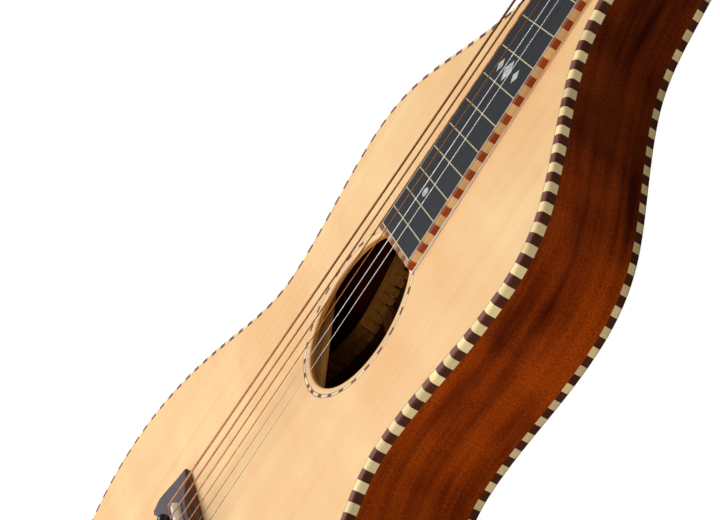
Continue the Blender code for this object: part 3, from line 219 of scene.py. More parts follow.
def outline_station(start, end, share):
    """A place on the treble edge between two knots, with its slope."""
    length = end[0] - start[0]
    rise = 3 * (end[1] - start[1]) - (2 * start[2] + end[2]) * length
    bend = (start[2] + end[2]) * length - 2 * (end[1] - start[1])
    w = start[1] + share * (start[2] * length + share * (rise + share * bend))
    slope = start[2] + share * (2 * rise + 3 * share * bend) / length
    return start[0] + share * length, w, slope


def tail_place(share):
    turn = share * math.pi / 2
    s0, w0, _ = outline_knots[-1]
    reach = body_length - s0
    return (
        s0 + reach * math.sin(turn) ** tail_power,
        w0 * max(math.cos(turn), 0.0) ** tail_power,
    )


def edge_stations():
    """Stations of the treble edge, nut to tail: s, w, inward direction, and distance along."""
    found = []
    for start, end in zip(outline_knots, outline_knots[1:]):
        for step in range(knot_steps):
            s, w, slope = outline_station(start, end, step / knot_steps)
            length = math.hypot(1, slope)
            found.append([s, w, slope / length, -1 / length])
    for step in range(tail_steps + 1):
        share = step / tail_steps
        s, w = tail_place(share)
        low, high = tail_place(max(share - 0.004, 0)), tail_place(min(share + 0.004, 1))
        ds, dw = high[0] - low[0], high[1] - low[1]
        if step == 0:
            ds, dw = 1, 0
        if step == tail_steps:
            ds, dw = 0, -1
        length = math.hypot(ds, dw)
        found.append([s, w, dw / length, -ds / length])
    found[0][2:] = [0.0, -1.0]
    along = 0.0
    zero = None
    for before, station in zip([found[0]] + found, found):
        along += math.dist(before[:2], station[:2])
        if zero is None and station[0] >= rope_zero:
            zero = along - (station[0] - rope_zero) * math.hypot(1, 0.9)
        station.append(along)
    return [(s, w, ns, nw, along - zero) for s, w, ns, nw, along in found]


treble_edge = edge_stations()


def stations_from(start):
    """The edge's stations from a distance onward, with one set at that distance."""
    later = [station for station in treble_edge if station[0] > start + 0.0005]
    before = [station for station in treble_edge if station[0] <= start][-1]
    share = (start - before[0]) / (later[0][0] - before[0])
    w = before[1] + share * (later[0][1] - before[1])
    along = before[4] + share * (later[0][4] - before[4])
    return [(start, w, 0.0, -1.0, along)] + later


def half_width(s, inset=0.0):
    points = [(p + inset * ns, w + inset * nw) for p, w, ns, nw, _ in treble_edge]
    for (s0, w0), (s1, w1) in zip(points, points[1:]):
        if s0 <= s <= s1:
            return w0 + (w1 - w0) * (s - s0) / (s1 - s0)
    return 0.0


def carry(shape, face, ring):
    """Extrude a face and set its corners at the next section's places."""
    corners = list(face.verts)
    made = bmesh.ops.extrude_face_region(shape, geom=[face, *face.edges, *corners])["geom"]
    moved = [item for item in made if isinstance(item, bmesh.types.BMFace)][0]
    fresh = {item for item in made if isinstance(item, bmesh.types.BMVert)}
    for corner, spot in zip(corners, ring):
        for edge in corner.link_edges:
            other = edge.other_vert(corner)
            if other in fresh:
                other.co = spot
                break
    order = []
    for corner in corners:
        order.append(next(e.other_vert(corner) for e in corner.link_edges
                          if e.other_vert(corner) in fresh))
    if list(moved.verts) != order:
        shape.faces.remove(moved)
        moved = shape.faces.new(order)
    return moved


def lofted(rings, alongs=None):
    """A closed body through rings of equally many places, made by extruding one face."""
    shape = bmesh.new()
    layer = shape.verts.layers.float.new("along")
    face = shape.faces.new([shape.verts.new(spot) for spot in rings[0]])
    if alongs:
        for corner in face.verts:
            corner[layer] = alongs[0]
    for index, ring in enumerate(rings[1:], start=1):
        face = carry(shape, face, ring)
        if alongs:
            for corner in face.verts:
                corner[layer] = alongs[index]
    return shape


def finished(shape, name, body, paint, replaced=(), smooth=30):
    """Turn a bmesh into a piece that rides on a body and stands for CAD nodes."""
    stray = [edge for edge in shape.edges if not edge.link_faces]
    bmesh.ops.delete(shape, geom=stray, context="EDGES")
    bmesh.ops.recalc_face_normals(shape, faces=shape.faces)
    mesh = bpy.data.meshes.new(name)
    shape.to_mesh(mesh)
    shape.free()
    mesh.shade_smooth()
    mesh.set_sharp_from_angle(angle=math.radians(smooth))
    piece = bpy.data.objects.new(name, mesh)
    bpy.context.scene.collection.objects.link(piece)
    mesh.materials.append(paint)
    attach(piece, body)
    if replaced:
        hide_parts(*replaced)
    return piece


def rail(profile, side, start=-0.0057, seam=0.0, phase=0.0):
    """A strip that follows one edge of the body, from the head end to the tail's middle."""
    rings = []
    alongs = []
    stations = stations_from(start) if start > -0.0057 else treble_edge
    for s, w, ns, nw, along in stations:
        ring = []
        for inset, level, rise in profile:
            at = s + inset * ns
            base = -body_depth(at) if level == "back" else 0.0
            across = max(w + inset * nw, seam) if s > 0.8 else w + inset * nw
            ring.append(place(at, side * across, base + rise))
        rings.append(ring)
        alongs.append(along + phase)
    return lofted(rings, alongs)


# Rope binding
# Blocks of pale maple and dark rosewood, glued end to end and bent round the top edge and the
# back edge. The outer corner is rounded and the whole is lacquered with the body.

binding_width = 0.0042
binding_height = 0.0056
binding_round = 0.0021
rope_period = 0.01175
rope_light_share = 0.488
top_phase = {1: 0.05419, -1: 0.02036}
back_phase = {1: 0.08386, -1: 0.08386}
maple_colour = (0.98, 0.76, 0.38, 1)
rosewood_block_colour = (0.100, 0.025, 0.010, 1)
# Painted sheen: the dark blocks' rounded tops are drawn in this paler colour.
rope_top_sheen_colour = (0.40, 0.17, 0.15, 1)


def rope_material(
    name, period, first_share, first, second, roughness, top=None, share=0.0, dark_only=False
):
    """Alternate blocks along the piece, each with its own fine grain and a hair of tone; faces that
    look up can be blended toward a top colour as painted light.
    """
    material, nodes, links, shader = new_material(name)
    along = nodes.new("ShaderNodeAttribute")
    along.attribute_name = "along"
    divide = nodes.new("ShaderNodeMath")
    divide.operation = "DIVIDE"
    divide.inputs[1].default_value = period
    part = nodes.new("ShaderNodeMath")
    part.operation = "FRACT"
    which = nodes.new("ShaderNodeMath")
    which.operation = "LESS_THAN"
    which.inputs[1].default_value = first_share
    count = nodes.new("ShaderNodeMath")
    count.operation = "FLOOR"
    shade = nodes.new("ShaderNodeTexWhiteNoise")
    shade.noise_dimensions = "1D"
    place_of = nodes.new("ShaderNodeTexCoord")
    grain = nodes.new("ShaderNodeTexNoise")
    grain.inputs["Scale"].default_value = 900
    grain.inputs["Detail"].default_value = 3
    tone = nodes.new("ShaderNodeMath")
    tone.operation = "MULTIPLY_ADD"
    tone.inputs[1].default_value = 0.30
    tone.inputs[2].default_value = 0.85
    tint = nodes.new("ShaderNodeMath")
    tint.operation = "MULTIPLY_ADD"
    tint.inputs[1].default_value = 0.30
    tint.inputs[2].default_value = 0.85
    both = nodes.new("ShaderNodeMath")
    both.operation = "MULTIPLY"
    blocks = nodes.new("ShaderNodeMix")
    blocks.data_type = "RGBA"
    blocks.inputs["A"].default_value = second
    blocks.inputs["B"].default_value = first
    toned = nodes.new("ShaderNodeVectorMath")
    toned.operation = "SCALE"
    links.new(along.outputs["Fac"], divide.inputs[0])
    links.new(divide.outputs[0], part.inputs[0])
    links.new(part.outputs[0], which.inputs[0])
    links.new(divide.outputs[0], count.inputs[0])
    links.new(count.outputs[0], shade.inputs["W"])
    links.new(place_of.outputs["Object"], grain.inputs["Vector"])
    links.new(grain.outputs["Fac"], tone.inputs[0])
    links.new(shade.outputs["Value"], tint.inputs[0])
    links.new(tone.outputs[0], both.inputs[0])
    links.new(tint.outputs[0], both.inputs[1])
    links.new(which.outputs[0], blocks.inputs["Factor"])
    links.new(blocks.outputs["Result"], toned.inputs[0])
    links.new(both.outputs[0], toned.inputs["Scale"])
    links.new(toned.outputs[0], shader.inputs["Base Color"])
    # Painted light: faces that look up are blended toward the top colour. This is a painted sheen on
    # the body's rope and painted shade on the board's rope.
    if top:
        facing = nodes.new("ShaderNodeNewGeometry")
        height = nodes.new("ShaderNodeSeparateXYZ")
        upward = nodes.new("ShaderNodeMapRange")
        upward.inputs["From Min"].default_value = 0.6
        upward.inputs["From Max"].default_value = 0.95
        upward.inputs["To Max"].default_value = share
        painted_top_light = nodes.new("ShaderNodeMix")
        painted_top_light.data_type = "RGBA"
        painted_top_light.inputs["B"].default_value = top
        links.new(facing.outputs["Normal"], height.inputs[0])
        links.new(height.outputs["Z"], upward.inputs["Value"])
        links.new(upward.outputs[0], painted_top_light.inputs["Factor"])
        if dark_only:
            painted_top_light.inputs["A"].default_value = second
            links.new(painted_top_light.outputs["Result"], blocks.inputs["A"])
        else:
            links.new(toned.outputs[0], painted_top_light.inputs["A"])
            links.new(painted_top_light.outputs["Result"], shader.inputs["Base Color"])
    shader.inputs["Roughness"].default_value = roughness
    shader.inputs["Specular IOR Level"].default_value = 0.12
    shader.inputs["Coat Weight"].default_value = 0.08
    shader.inputs["Coat Roughness"].default_value = 0.4
    return material


rope_paint = rope_material(
    "rope_binding", rope_period, rope_light_share, maple_colour, rosewood_block_colour, 0.5,
    rope_top_sheen_colour, 0.40, True,
)


def binding_profile(level, sign):
    """Section of the binding: flat outside, rounded corner, flat top and square inside."""
    points = [(0, level, -sign * binding_height), (0, level, -sign * binding_round)]
    for step in range(1, 6):
        turn = step / 6 * math.pi / 2
        inset = binding_round * (1 - math.cos(turn))
        points.append((inset, level, -sign * binding_round * (1 - math.sin(turn))))
    points.append((binding_round, level, 0))
    points.append((binding_width, level, 0))
    points.append((binding_width, level, -sign * binding_height))
    return points


for side, word in ((-1, "bass"), (1, "treble")):
    top_rope = finished(
        rail(binding_profile("top", 1), side, phase=top_phase[side]),
        f"rope_top_{word}", "guitar", rope_paint,
        ("top_binding",) if side > 0 else (),
    )
    back_rope = finished(
        rail(binding_profile("back", -1), side, phase=back_phase[side]),
        f"rope_back_{word}", "guitar", rope_paint,
        ("back_binding",) if side > 0 else (),
    )

# Purfling line
# A hair of grey-dyed veneer between the rope and the spruce.

line_width = 0.0004
line_dark_colour = (0.18, 0.125, 0.115, 1)
line_light_colour = (0.28, 0.195, 0.185, 1)


def wood(name, low, high, stretch, roughness=0.8, coat=0.0, specular=0.4):
    """Plain wood: lines stretched along the piece between a darker and a lighter tone."""
    material, nodes, links, shader = new_material(name)
    spot = nodes.new("ShaderNodeTexCoord")
    mapping = nodes.new("ShaderNodeMapping")
    mapping.inputs["Scale"].default_value = stretch
    grain = nodes.new("ShaderNodeTexNoise")
    grain.inputs["Scale"].default_value = 1.0
    grain.inputs["Detail"].default_value = 5
    grain.inputs["Roughness"].default_value = 0.6
    ramp = nodes.new("ShaderNodeValToRGB")
    ramp.color_ramp.elements[0].position = 0.30
    ramp.color_ramp.elements[0].color = low
    ramp.color_ramp.elements[1].position = 0.70
    ramp.color_ramp.elements[1].color = high
    bump = nodes.new("ShaderNodeBump")
    bump.inputs["Strength"].default_value = 0.12
    bump.inputs["Distance"].default_value = 0.0002
    links.new(spot.outputs["Object"], mapping.inputs["Vector"])
    links.new(mapping.outputs[0], grain.inputs["Vector"])
    links.new(grain.outputs["Fac"], ramp.inputs[0])
    links.new(ramp.outputs["Color"], shader.inputs["Base Color"])
    links.new(grain.outputs["Fac"], bump.inputs["Height"])
    links.new(bump.outputs[0], shader.inputs["Normal"])
    shader.inputs["Roughness"].default_value = roughness
    shader.inputs["Specular IOR Level"].default_value = specular
    shader.inputs["Coat Weight"].default_value = coat
    return material


line_paint = wood("purfling_grey", line_dark_colour, line_light_colour, (400, 400, 400), 0.5)
for side, word in ((-1, "bass"), (1, "treble")):
    section = [
        (binding_width, "top", -0.0015),
        (binding_width, "top", 0),
        (binding_width + line_width, "top", 0),
        (binding_width + line_width, "top", -0.0015),
    ]
    finished(rail(section, side), f"purfling_line_{word}", "guitar", line_paint)

# Sides
# Two bent ribs of ribbon-figured mahogany, joined at the tail, stained dark and glossy, with painted
# shade toward the neck and on the inner faces.

side_thickness = 0.0022
side_rim = 0.0059


def mahogany_material():
    """Ribbon mahogany under gloss lacquer: broad bands and short dark pores, with painted shade toward
    the neck and on faces turned inward.
    """
    material, nodes, links, shader = new_material("mahogany_gloss")
    coords = nodes.new("ShaderNodeAttribute")
    coords.attribute_name = "along"
    spot = nodes.new("ShaderNodeTexCoord")
    split = nodes.new("ShaderNodeSeparateXYZ")
    joined = nodes.new("ShaderNodeCombineXYZ")
    links.new(spot.outputs["Object"], split.inputs[0])
    links.new(coords.outputs["Fac"], joined.inputs["X"])
    links.new(split.outputs["Z"], joined.inputs["Z"])

    def noise(scale, detail, stretch, rough=0.5, lean=0.0):
        mapping = nodes.new("ShaderNodeMapping")
        mapping.inputs["Scale"].default_value = stretch
        mapping.inputs["Rotation"].default_value = (0, lean, 0)
        texture = nodes.new("ShaderNodeTexNoise")
        texture.inputs["Scale"].default_value = scale
        texture.inputs["Detail"].default_value = detail
        texture.inputs["Roughness"].default_value = rough
        links.new(joined.outputs[0], mapping.inputs["Vector"])
        links.new(mapping.outputs[0], texture.inputs["Vector"])
        return texture

    broad = noise(1.0, 3, (9, 1, 30), 0.5, 0.5)
    ribbon = noise(1.0, 4, (8, 1, 120), 0.6)
    pores = noise(1.0, 4, (620, 1, 1300), 0.75)
    mottle = noise(1.0, 2, (30, 1, 22), 0.5)
    mix = nodes.new("ShaderNodeMath")
    mix.operation = "MULTIPLY_ADD"
    mix.inputs[1].default_value = 0.55
    links.new(ribbon.outputs["Fac"], mix.inputs[0])
    half = nodes.new("ShaderNodeMath")
    half.operation = "MULTIPLY"
    half.inputs[1].default_value = 0.45
    links.new(broad.outputs["Fac"], half.inputs[0])
    links.new(half.outputs[0], mix.inputs[2])
    add = nodes.new("ShaderNodeMath")
    add.operation = "MULTIPLY_ADD"
    add.inputs[1].default_value = 0.36
    links.new(mottle.outputs["Fac"], add.inputs[0])
    links.new(mix.outputs[0], add.inputs[2])
    ramp = nodes.new("ShaderNodeValToRGB")
    ramp.color_ramp.elements[0].position = 0.52
    ramp.color_ramp.elements[0].color = (0.085, 0.0065, 0.0001, 1)
    ramp.color_ramp.elements[1].position = 0.81
    ramp.color_ramp.elements[1].color = (0.455, 0.062, 0.0006, 1)
    links.new(add.outputs[0], ramp.inputs[0])
    # Painted shade: the ribs are drawn darker toward the neck.
    shaded = nodes.new("ShaderNodeMapRange")
    shaded.interpolation_type = "SMOOTHSTEP"
    shaded.inputs["From Min"].default_value = -0.05
    shaded.inputs["From Max"].default_value = 0.01
    shaded.inputs["To Min"].default_value = 0.52
    shaded.inputs["To Max"].default_value = 1.0
    links.new(split.outputs["X"], shaded.inputs["Value"])
    dark = nodes.new("ShaderNodeMapRange")
    dark.inputs["From Min"].default_value = 0.34
    dark.inputs["From Max"].default_value = 0.64
    dark.inputs["To Min"].default_value = 0.42
    dark.inputs["To Max"].default_value = 1.45
    links.new(pores.outputs["Fac"], dark.inputs["Value"])
    tone = nodes.new("ShaderNodeVectorMath")
    tone.operation = "SCALE"
    links.new(ramp.outputs["Color"], tone.inputs[0])
    # Painted shade: faces turned inward, toward the body's middle, are drawn at about a third of their
    # brightness.
    facing = nodes.new("ShaderNodeNewGeometry")
    facing_parts = nodes.new("ShaderNodeSeparateXYZ")
    outward = nodes.new("ShaderNodeMath")
    outward.operation = "MULTIPLY"
    faces_inward = nodes.new("ShaderNodeMath")
    faces_inward.operation = "LESS_THAN"
    faces_inward.inputs[1].default_value = 0.0
    inside = nodes.new("ShaderNodeMapRange")
    inside.inputs["To Min"].default_value = 1.0
    inside.inputs["To Max"].default_value = 0.35
    shade = nodes.new("ShaderNodeMath")
    shade.operation = "MULTIPLY"
    links.new(facing.outputs["True Normal"], facing_parts.inputs[0])
    links.new(facing_parts.outputs["Y"], outward.inputs[0])
    links.new(split.outputs["Y"], outward.inputs[1])
    links.new(outward.outputs[0], faces_inward.inputs[0])
    links.new(faces_inward.outputs[0], inside.inputs["Value"])
    pores_and_shade = nodes.new("ShaderNodeMath")
    pores_and_shade.operation = "MULTIPLY"
    links.new(dark.outputs[0], pores_and_shade.inputs[0])
    links.new(shaded.outputs[0], pores_and_shade.inputs[1])
    links.new(pores_and_shade.outputs[0], shade.inputs[0])
    links.new(inside.outputs[0], shade.inputs[1])
    links.new(shade.outputs[0], tone.inputs["Scale"])
    links.new(tone.outputs[0], shader.inputs["Base Color"])
    shader.inputs["Roughness"].default_value = 0.45
    shader.inputs["Specular IOR Level"].default_value = 0.04
    shader.inputs["Coat Weight"].default_value = 0.10
    shader.inputs["Coat Roughness"].default_value = 0.10
    bump = nodes.new("ShaderNodeBump")
    bump.inputs["Strength"].default_value = 0.08
    bump.inputs["Distance"].default_value = 0.0004
    links.new(pores.outputs["Fac"], bump.inputs["Height"])
    links.new(bump.outputs[0], shader.inputs["Normal"])
    return material


mahogany_paint = mahogany_material()
for side, word in ((-1, "bass"), (1, "treble")):
    section = [
        (0, "top", -side_rim + 0.0003),
        (0, "back", side_rim - 0.0003),
        (side_thickness, "back", side_rim - 0.0003),
        (side_thickness, "top", -side_rim + 0.0003),
    ]
    finished(
        rail(section, side, phase=0.3), f"rib_{word}", "guitar", mahogany_paint,
        (f"side_{word}",),
    )

# Soundboard
# Two matched halves of spruce, straight-grained, with faint silky flecks across the grain and a
# clear gloss that has turned honey. A channel round the hole takes the rope ring.

top_thickness = 0.0032
hole_station = 0.4684
hole_radius = 0.0490
hole_edge_round = 0.0015
ring_inner = 0.0530
ring_outer = 0.0555
ring_height = 0.0012
hole_steps = 128


def spruce_material():
    """Honey spruce: close grain lengthwise, broad flecks across, and painted shade in deeper orange on
    faces that do not look up.
    """
    material, nodes, links, shader = new_material("spruce_top")
    spot = nodes.new("ShaderNodeTexCoord")

    def noise(stretch, detail, turn=0.0, rough=0.5, distortion=0.0):
        mapping = nodes.new("ShaderNodeMapping")
        mapping.inputs["Scale"].default_value = stretch
        mapping.inputs["Rotation"].default_value = (0, 0, turn)
        texture = nodes.new("ShaderNodeTexNoise")
        texture.inputs["Scale"].default_value = 1.0
        texture.inputs["Detail"].default_value = detail
        texture.inputs["Roughness"].default_value = rough
        texture.inputs["Distortion"].default_value = distortion
        links.new(spot.outputs["Object"], mapping.inputs["Vector"])
        links.new(mapping.outputs[0], texture.inputs["Vector"])
        return texture

    grain = noise((6, 1100, 6), 2)
    wide_grain = noise((2.5, 60, 2.5), 3)
    flecks = noise((26, 7, 7), 3, math.radians(24), 0.55, 0.4)
    cloud = noise((5, 5, 5), 2)
    total = None
    for texture, weight in ((cloud, 0.25), (flecks, 0.55), (wide_grain, 0.34), (grain, 0.22)):
        step = nodes.new("ShaderNodeMath")
        step.operation = "MULTIPLY_ADD"
        step.inputs[1].default_value = weight
        step.inputs[2].default_value = 0.0
        links.new(texture.outputs["Fac"], step.inputs[0])
        if total:
            links.new(total, step.inputs[2])
        total = step.outputs[0]
    ramp = nodes.new("ShaderNodeValToRGB")
    ramp.color_ramp.elements[0].position = 0.42
    ramp.color_ramp.elements[0].color = (0.86, 0.455, 0.185, 1)
    ramp.color_ramp.elements[1].position = 0.90
    ramp.color_ramp.elements[1].color = (0.99, 0.685, 0.345, 1)
    links.new(total, ramp.inputs[0])
    # Painted shade: faces that do not look up, such as the hole's wall, are blended toward a deeper
    # orange.
    facing = nodes.new("ShaderNodeNewGeometry")
    upward = nodes.new("ShaderNodeVectorMath")
    upward.operation = "DOT_PRODUCT"
    upward.inputs[1].default_value = turned((0, 0, 1))
    flat = nodes.new("ShaderNodeMapRange")
    flat.inputs["From Min"].default_value = 0.15
    flat.inputs["From Max"].default_value = 0.80
    wall_shade = nodes.new("ShaderNodeMix")
    wall_shade.data_type = "RGBA"
    wall_shade.inputs["A"].default_value = (0.80, 0.33, 0.05, 1)
    links.new(facing.outputs["Normal"], upward.inputs[0])
    links.new(upward.outputs["Value"], flat.inputs["Value"])
    links.new(flat.outputs[0], wall_shade.inputs["Factor"])
    links.new(ramp.outputs["Color"], wall_shade.inputs["B"])
    links.new(wall_shade.outputs["Result"], shader.inputs["Base Color"])
    shader.inputs["Roughness"].default_value = 0.5
    shader.inputs["Specular IOR Level"].default_value = 0.3
    shader.inputs["Coat Weight"].default_value = 0.2
    shader.inputs["Coat Roughness"].default_value = 0.25
    return material


spruce_paint = spruce_material()


def half_plan(inset, side):
    """One half of the outline, moved inward, from the head end to the tail's middle."""
    places = [(s + inset * ns, side * (w + inset * nw)) for s, w, ns, nw, _ in treble_edge]
    return places[:-1] + [(places[-1][0], 0.0)]


def hole_circle(shape, radius, h):
    """A circle about the hole's axis: its corners in order of angle, and its edges."""
    made = bmesh.ops.create_circle(shape, segments=hole_steps, radius=radius)["verts"]
    bmesh.ops.translate(shape, verts=made, vec=(hole_station, 0, h))
    edges = list({edge for corner in made for edge in corner.link_edges})
    angle = {v: round(math.atan2(v.co.y, v.co.x - hole_station), 6) for v in made}
    return sorted(made, key=lambda v: abs(angle[v])), edges


def soundboard_shape():
    """Flat faces in two halves, joined by the rim and by the turned section of the hole."""
    shape = bmesh.new()
    section = [
        (ring_outer, 0), (ring_outer, -ring_height), (ring_inner, -ring_height), (ring_inner, 0),
        (hole_radius + hole_edge_round, 0),
    ]
    for step in range(1, 5):
        turn = step / 4 * math.pi / 2
        section.append((
            hole_radius + hole_edge_round * (1 - math.sin(turn)),
            -hole_edge_round * (1 - math.cos(turn)),
        ))
    section.append((hole_radius, -top_thickness))
    circles = [hole_circle(shape, radius, h) for radius, h in section]
    for (_, first), (_, second) in zip(circles, circles[1:]):
        bmesh.ops.bridge_loops(shape, edges=first + second)
    inset = binding_width + line_width
    treble, bass = half_plan(inset, 1), half_plan(inset, -1)
    rims = []
    for h, circle in ((0, circles[0][0]), (-top_thickness, circles[-1][0])):
        centre_head = shape.verts.new((treble[0][0], 0, h))
        rim_treble = [shape.verts.new((s, w, h)) for s, w in treble]
        rim_bass = [shape.verts.new((s, w, h)) for s, w in bass[:-1]]
        for rim, side in ((rim_treble, 1), (rim_bass + rim_treble[-1:], -1)):
            arc = [v for v in circle if side * v.co.y > -1e-6]
            shape.faces.new([centre_head] + rim + arc)
        loop = [centre_head] + rim_treble + rim_bass[::-1]
        rims += [shape.edges.get(pair) for pair in zip(loop, loop[1:] + loop[:1])]
    bmesh.ops.bridge_loops(shape, edges=rims)
    bmesh.ops.transform(shape, matrix=top_frame, verts=shape.verts)
    return shape


finished(soundboard_shape(), "spruce_top", "guitar", spruce_paint, ("soundboard",), 25)

# Sound hole ring
# Short dashes of dark and pale wood between two grey lines, let into a channel round the hole.
# The ring runs on under the end of the fingerboard, where its ends meet.

ring_line = 0.00040
ring_proud = 0.00003
ring_period = 13.1
ring_dark_share = 0.38
treble_dash_start = 8.1
bass_dash_start = -1.0
ring_dark_colour = (0.17, 0.075, 0.062, 1)
ring_pale_colour = (0.94, 0.70, 0.40, 1)


def turned_profile(points, steps, centre=(0, 0)):
    """A body of revolution about an upright axis; points are (radius, height), a closed line."""
    shape = bmesh.new()
    corners = [shape.verts.new((centre[0] + radius, centre[1], h)) for radius, h in points]
    chain = [shape.edges.new(pair) for pair in zip(corners, corners[1:] + corners[:1])]
    bmesh.ops.spin(
        shape, geom=corners + chain, cent=(*centre, 0), axis=(0, 0, 1), angle=math.tau,
        steps=steps, use_merge=True,
    )
    bmesh.ops.remove_doubles(shape, verts=shape.verts, dist=1e-7)
    bmesh.ops.dissolve_degenerate(shape, edges=shape.edges, dist=1e-7)
    return shape


ring_paint = rope_material(
    "ring_dashes", 1.0, ring_dark_share, ring_dark_colour, ring_pale_colour, 0.4
)
for name, inner, outer, paint in (
    ("ring_line_inner", ring_inner, ring_inner + ring_line, line_paint),
    ("ring_dashes", ring_inner + ring_line, ring_outer - ring_line, ring_paint),
    ("ring_line_outer", ring_outer - ring_line, ring_outer, line_paint),
):
    section = [(inner, -ring_height), (outer, -ring_height), (outer, ring_proud), (inner, ring_proud)]
    shape = turned_profile(section, hole_steps, (hole_station, 0))
    dash = shape.verts.layers.float.new("along")
    for corner in shape.verts:
        angle = math.degrees(math.atan2(corner.co.y, corner.co.x - hole_station))
        if angle > 4:
            corner[dash] = 1 + (angle - treble_dash_start) / ring_period + 20
        else:
            corner[dash] = (angle - bass_dash_start) / ring_period + 20
    bmesh.ops.transform(shape, matrix=top_frame, verts=shape.verts)
    replaced = ("soundhole_purfling",) if name == "ring_dashes" else ()
    finished(shape, name, "guitar", paint, replaced)

# Back
# A flat mahogany back in two bookmatched halves, set inside its rope binding.

back_thickness = 0.0026

back_paint = wood(
    "mahogany_back", (0.060, 0.012, 0.004, 1), (0.20, 0.055, 0.014, 1), (4, 70, 4), 0.45, 0.5, 0.2
)

shape = bmesh.new()
inset = binding_width + 0.0001
plan = half_plan(inset, 1) + half_plan(inset, -1)[-2::-1]
face = shape.faces.new([shape.verts.new(place(s, w, -body_depth(s))) for s, w in plan])
made = bmesh.ops.extrude_face_region(shape, geom=[face], use_keep_orig=True)["geom"]
lifted = [item for item in made if isinstance(item, bmesh.types.BMVert)]
bmesh.ops.translate(shape, verts=lifted, vec=(0, 0, back_thickness))
finished(shape, "mahogany_back_plate", "guitar", back_paint, ("back_plate",), 25)

# Linings
# Kerfed strips of cedar glued in the corners between the ribs and both plates: small blocks with
# saw cuts between them, on a thin web that stays whole so that the strip bends.

gap = 0.0003
lining_pitch = 0.0065
lining_kerf = 0.0014
lining_web = 0.0010
lining_out = 0.0025
lining_back = 0.0090
lining_rim = 0.0059
lining_step = 0.0048
lining_edge = 0.0030
lining_height = 0.0120
lining_start = 0.0306

lining_paint = wood(
    "lining_cedar", (0.68, 0.26, 0.030, 1), (0.98, 0.46, 0.066, 1), (60, 60, 700), 0.85
)


def edge_at(along):
    """The treble edge's station at a distance along it."""
    for before, after in zip(treble_edge, treble_edge[1:]):
        if before[4] <= along <= after[4]:
            share = (along - before[4]) / (after[4] - before[4])
            return [a + share * (b - a) for a, b in zip(before, after)]
    return treble_edge[-1]


def section_ring(station, profile, side):
    s, w, ns, nw = station[:4]
    ring = []
    for inset, level, rise in profile:
        at = s + inset * ns
        base = -body_depth(at) if level == "back" else 0.0
        ring.append(place(at, side * (w + inset * nw), base + rise))
    return ring


def lining_shape(level, sign, plate, side):
    shape = bmesh.new()
    seat = plate + gap
    block = [
        (lining_out + lining_web, level, sign * lining_rim),
        (lining_step, level, sign * lining_rim),
        (lining_step, level, sign * seat),
        (lining_back, level, sign * seat),
        (lining_back, level, sign * (seat + lining_edge)),
        (lining_out + lining_web, level, sign * (seat + lining_height * 0.87)),
    ]
    web = [
        (lining_out, level, sign * lining_rim),
        (lining_out + lining_web, level, sign * lining_rim),
        (lining_out + lining_web, level, sign * (seat + lining_height * 0.87)),
        (lining_out, level, sign * (seat + lining_height)),
    ]
    stations = stations_from(lining_start)
    first, last = stations[0][4], stations[-1][4]
    for number in range(int((last - first) / lining_pitch)):
        start = first + number * lining_pitch
        rings = [section_ring(edge_at(start + share), block, side)
                 for share in (0, lining_pitch - lining_kerf)]
        carry(shape, shape.faces.new([shape.verts.new(spot) for spot in rings[0]]), rings[1])
    face = shape.faces.new([shape.verts.new(p) for p in section_ring(stations[0], web, side)])
    for station in stations[1:]:
        face = carry(shape, face, section_ring(station, web, side))
    return shape


for level, sign, plate in (("top", -1, top_thickness), ("back", 1, back_thickness)):
    for side, word in ((-1, "bass"), (1, "treble")):
        replaced = (f"{level}_lining",) if side > 0 else ()
        finished(
            lining_shape(level, sign, plate, side), f"lining_{level}_{word}", "guitar",
            lining_paint, replaced,
        )

# Braces and blocks
# Pale spruce bars glued under the top and on the back, left raw, and the mahogany blocks at the
# neck and the tail, with the hardwood plate that takes the strings' ball ends.


def repaint(paint, *names):
    for name in names:
        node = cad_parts[name]
        node.data.materials.clear()
        node.data.materials.append(paint)


brace_paint = wood("brace_raw", (0.55, 0.21, 0.045, 1), (0.85, 0.36, 0.085, 1), (90, 90, 500))
block_paint = wood("block_mahogany", (0.15, 0.06, 0.03, 1), (0.29, 0.13, 0.06, 1), (60, 60, 300))
repaint(
    brace_paint, "x_brace_a", "x_brace_b", "upper_transverse_brace", "tone_bar_1", "tone_bar_2",
    "back_brace_1", "back_brace_2", "back_brace_3",
)
repaint(block_paint, "neck_block", "tail_block", "bridge_plate")

# Painted shade: the legs of the X-brace are drawn darker toward the soundboard.
brace_leg_paint = wood("brace_under_top", (0.66, 0.28, 0.060, 1), (0.95, 0.43, 0.105, 1), (90, 90, 500))
nodes, links = brace_leg_paint.node_tree.nodes, brace_leg_paint.node_tree.links
shader = nodes["Principled BSDF"]
spot = nodes.new("ShaderNodeTexCoord")
rise = nodes.new("ShaderNodeVectorMath")
rise.operation = "DOT_PRODUCT"
rise.inputs[1].default_value = turned((0, 0, 1))
shade_near_top = nodes.new("ShaderNodeMapRange")
shade_near_top.inputs["From Min"].default_value = place(0, 0, -0.0098).dot(turned((0, 0, 1)))
shade_near_top.inputs["From Max"].default_value = place(0, 0, -0.0068).dot(turned((0, 0, 1)))
shade_near_top.inputs["To Min"].default_value = 1.0
shade_near_top.inputs["To Max"].default_value = 0.55
brace_shaded = nodes.new("ShaderNodeVectorMath")
brace_shaded.operation = "SCALE"
links.new(spot.outputs["Object"], rise.inputs[0])
links.new(rise.outputs["Value"], shade_near_top.inputs["Value"])
links.new(shader.inputs["Base Color"].links[0].from_socket, brace_shaded.inputs[0])
links.new(shade_near_top.outputs[0], brace_shaded.inputs["Scale"])
links.new(brace_shaded.outputs[0], shader.inputs["Base Color"])
repaint(brace_leg_paint, "x_brace_a", "x_brace_b")

# Fingerboard
# A slab of ebony glued on the soundboard. Lines of pale maple lie flush in its saw cuts, because
# a steel bar stops the strings and there are no frets.

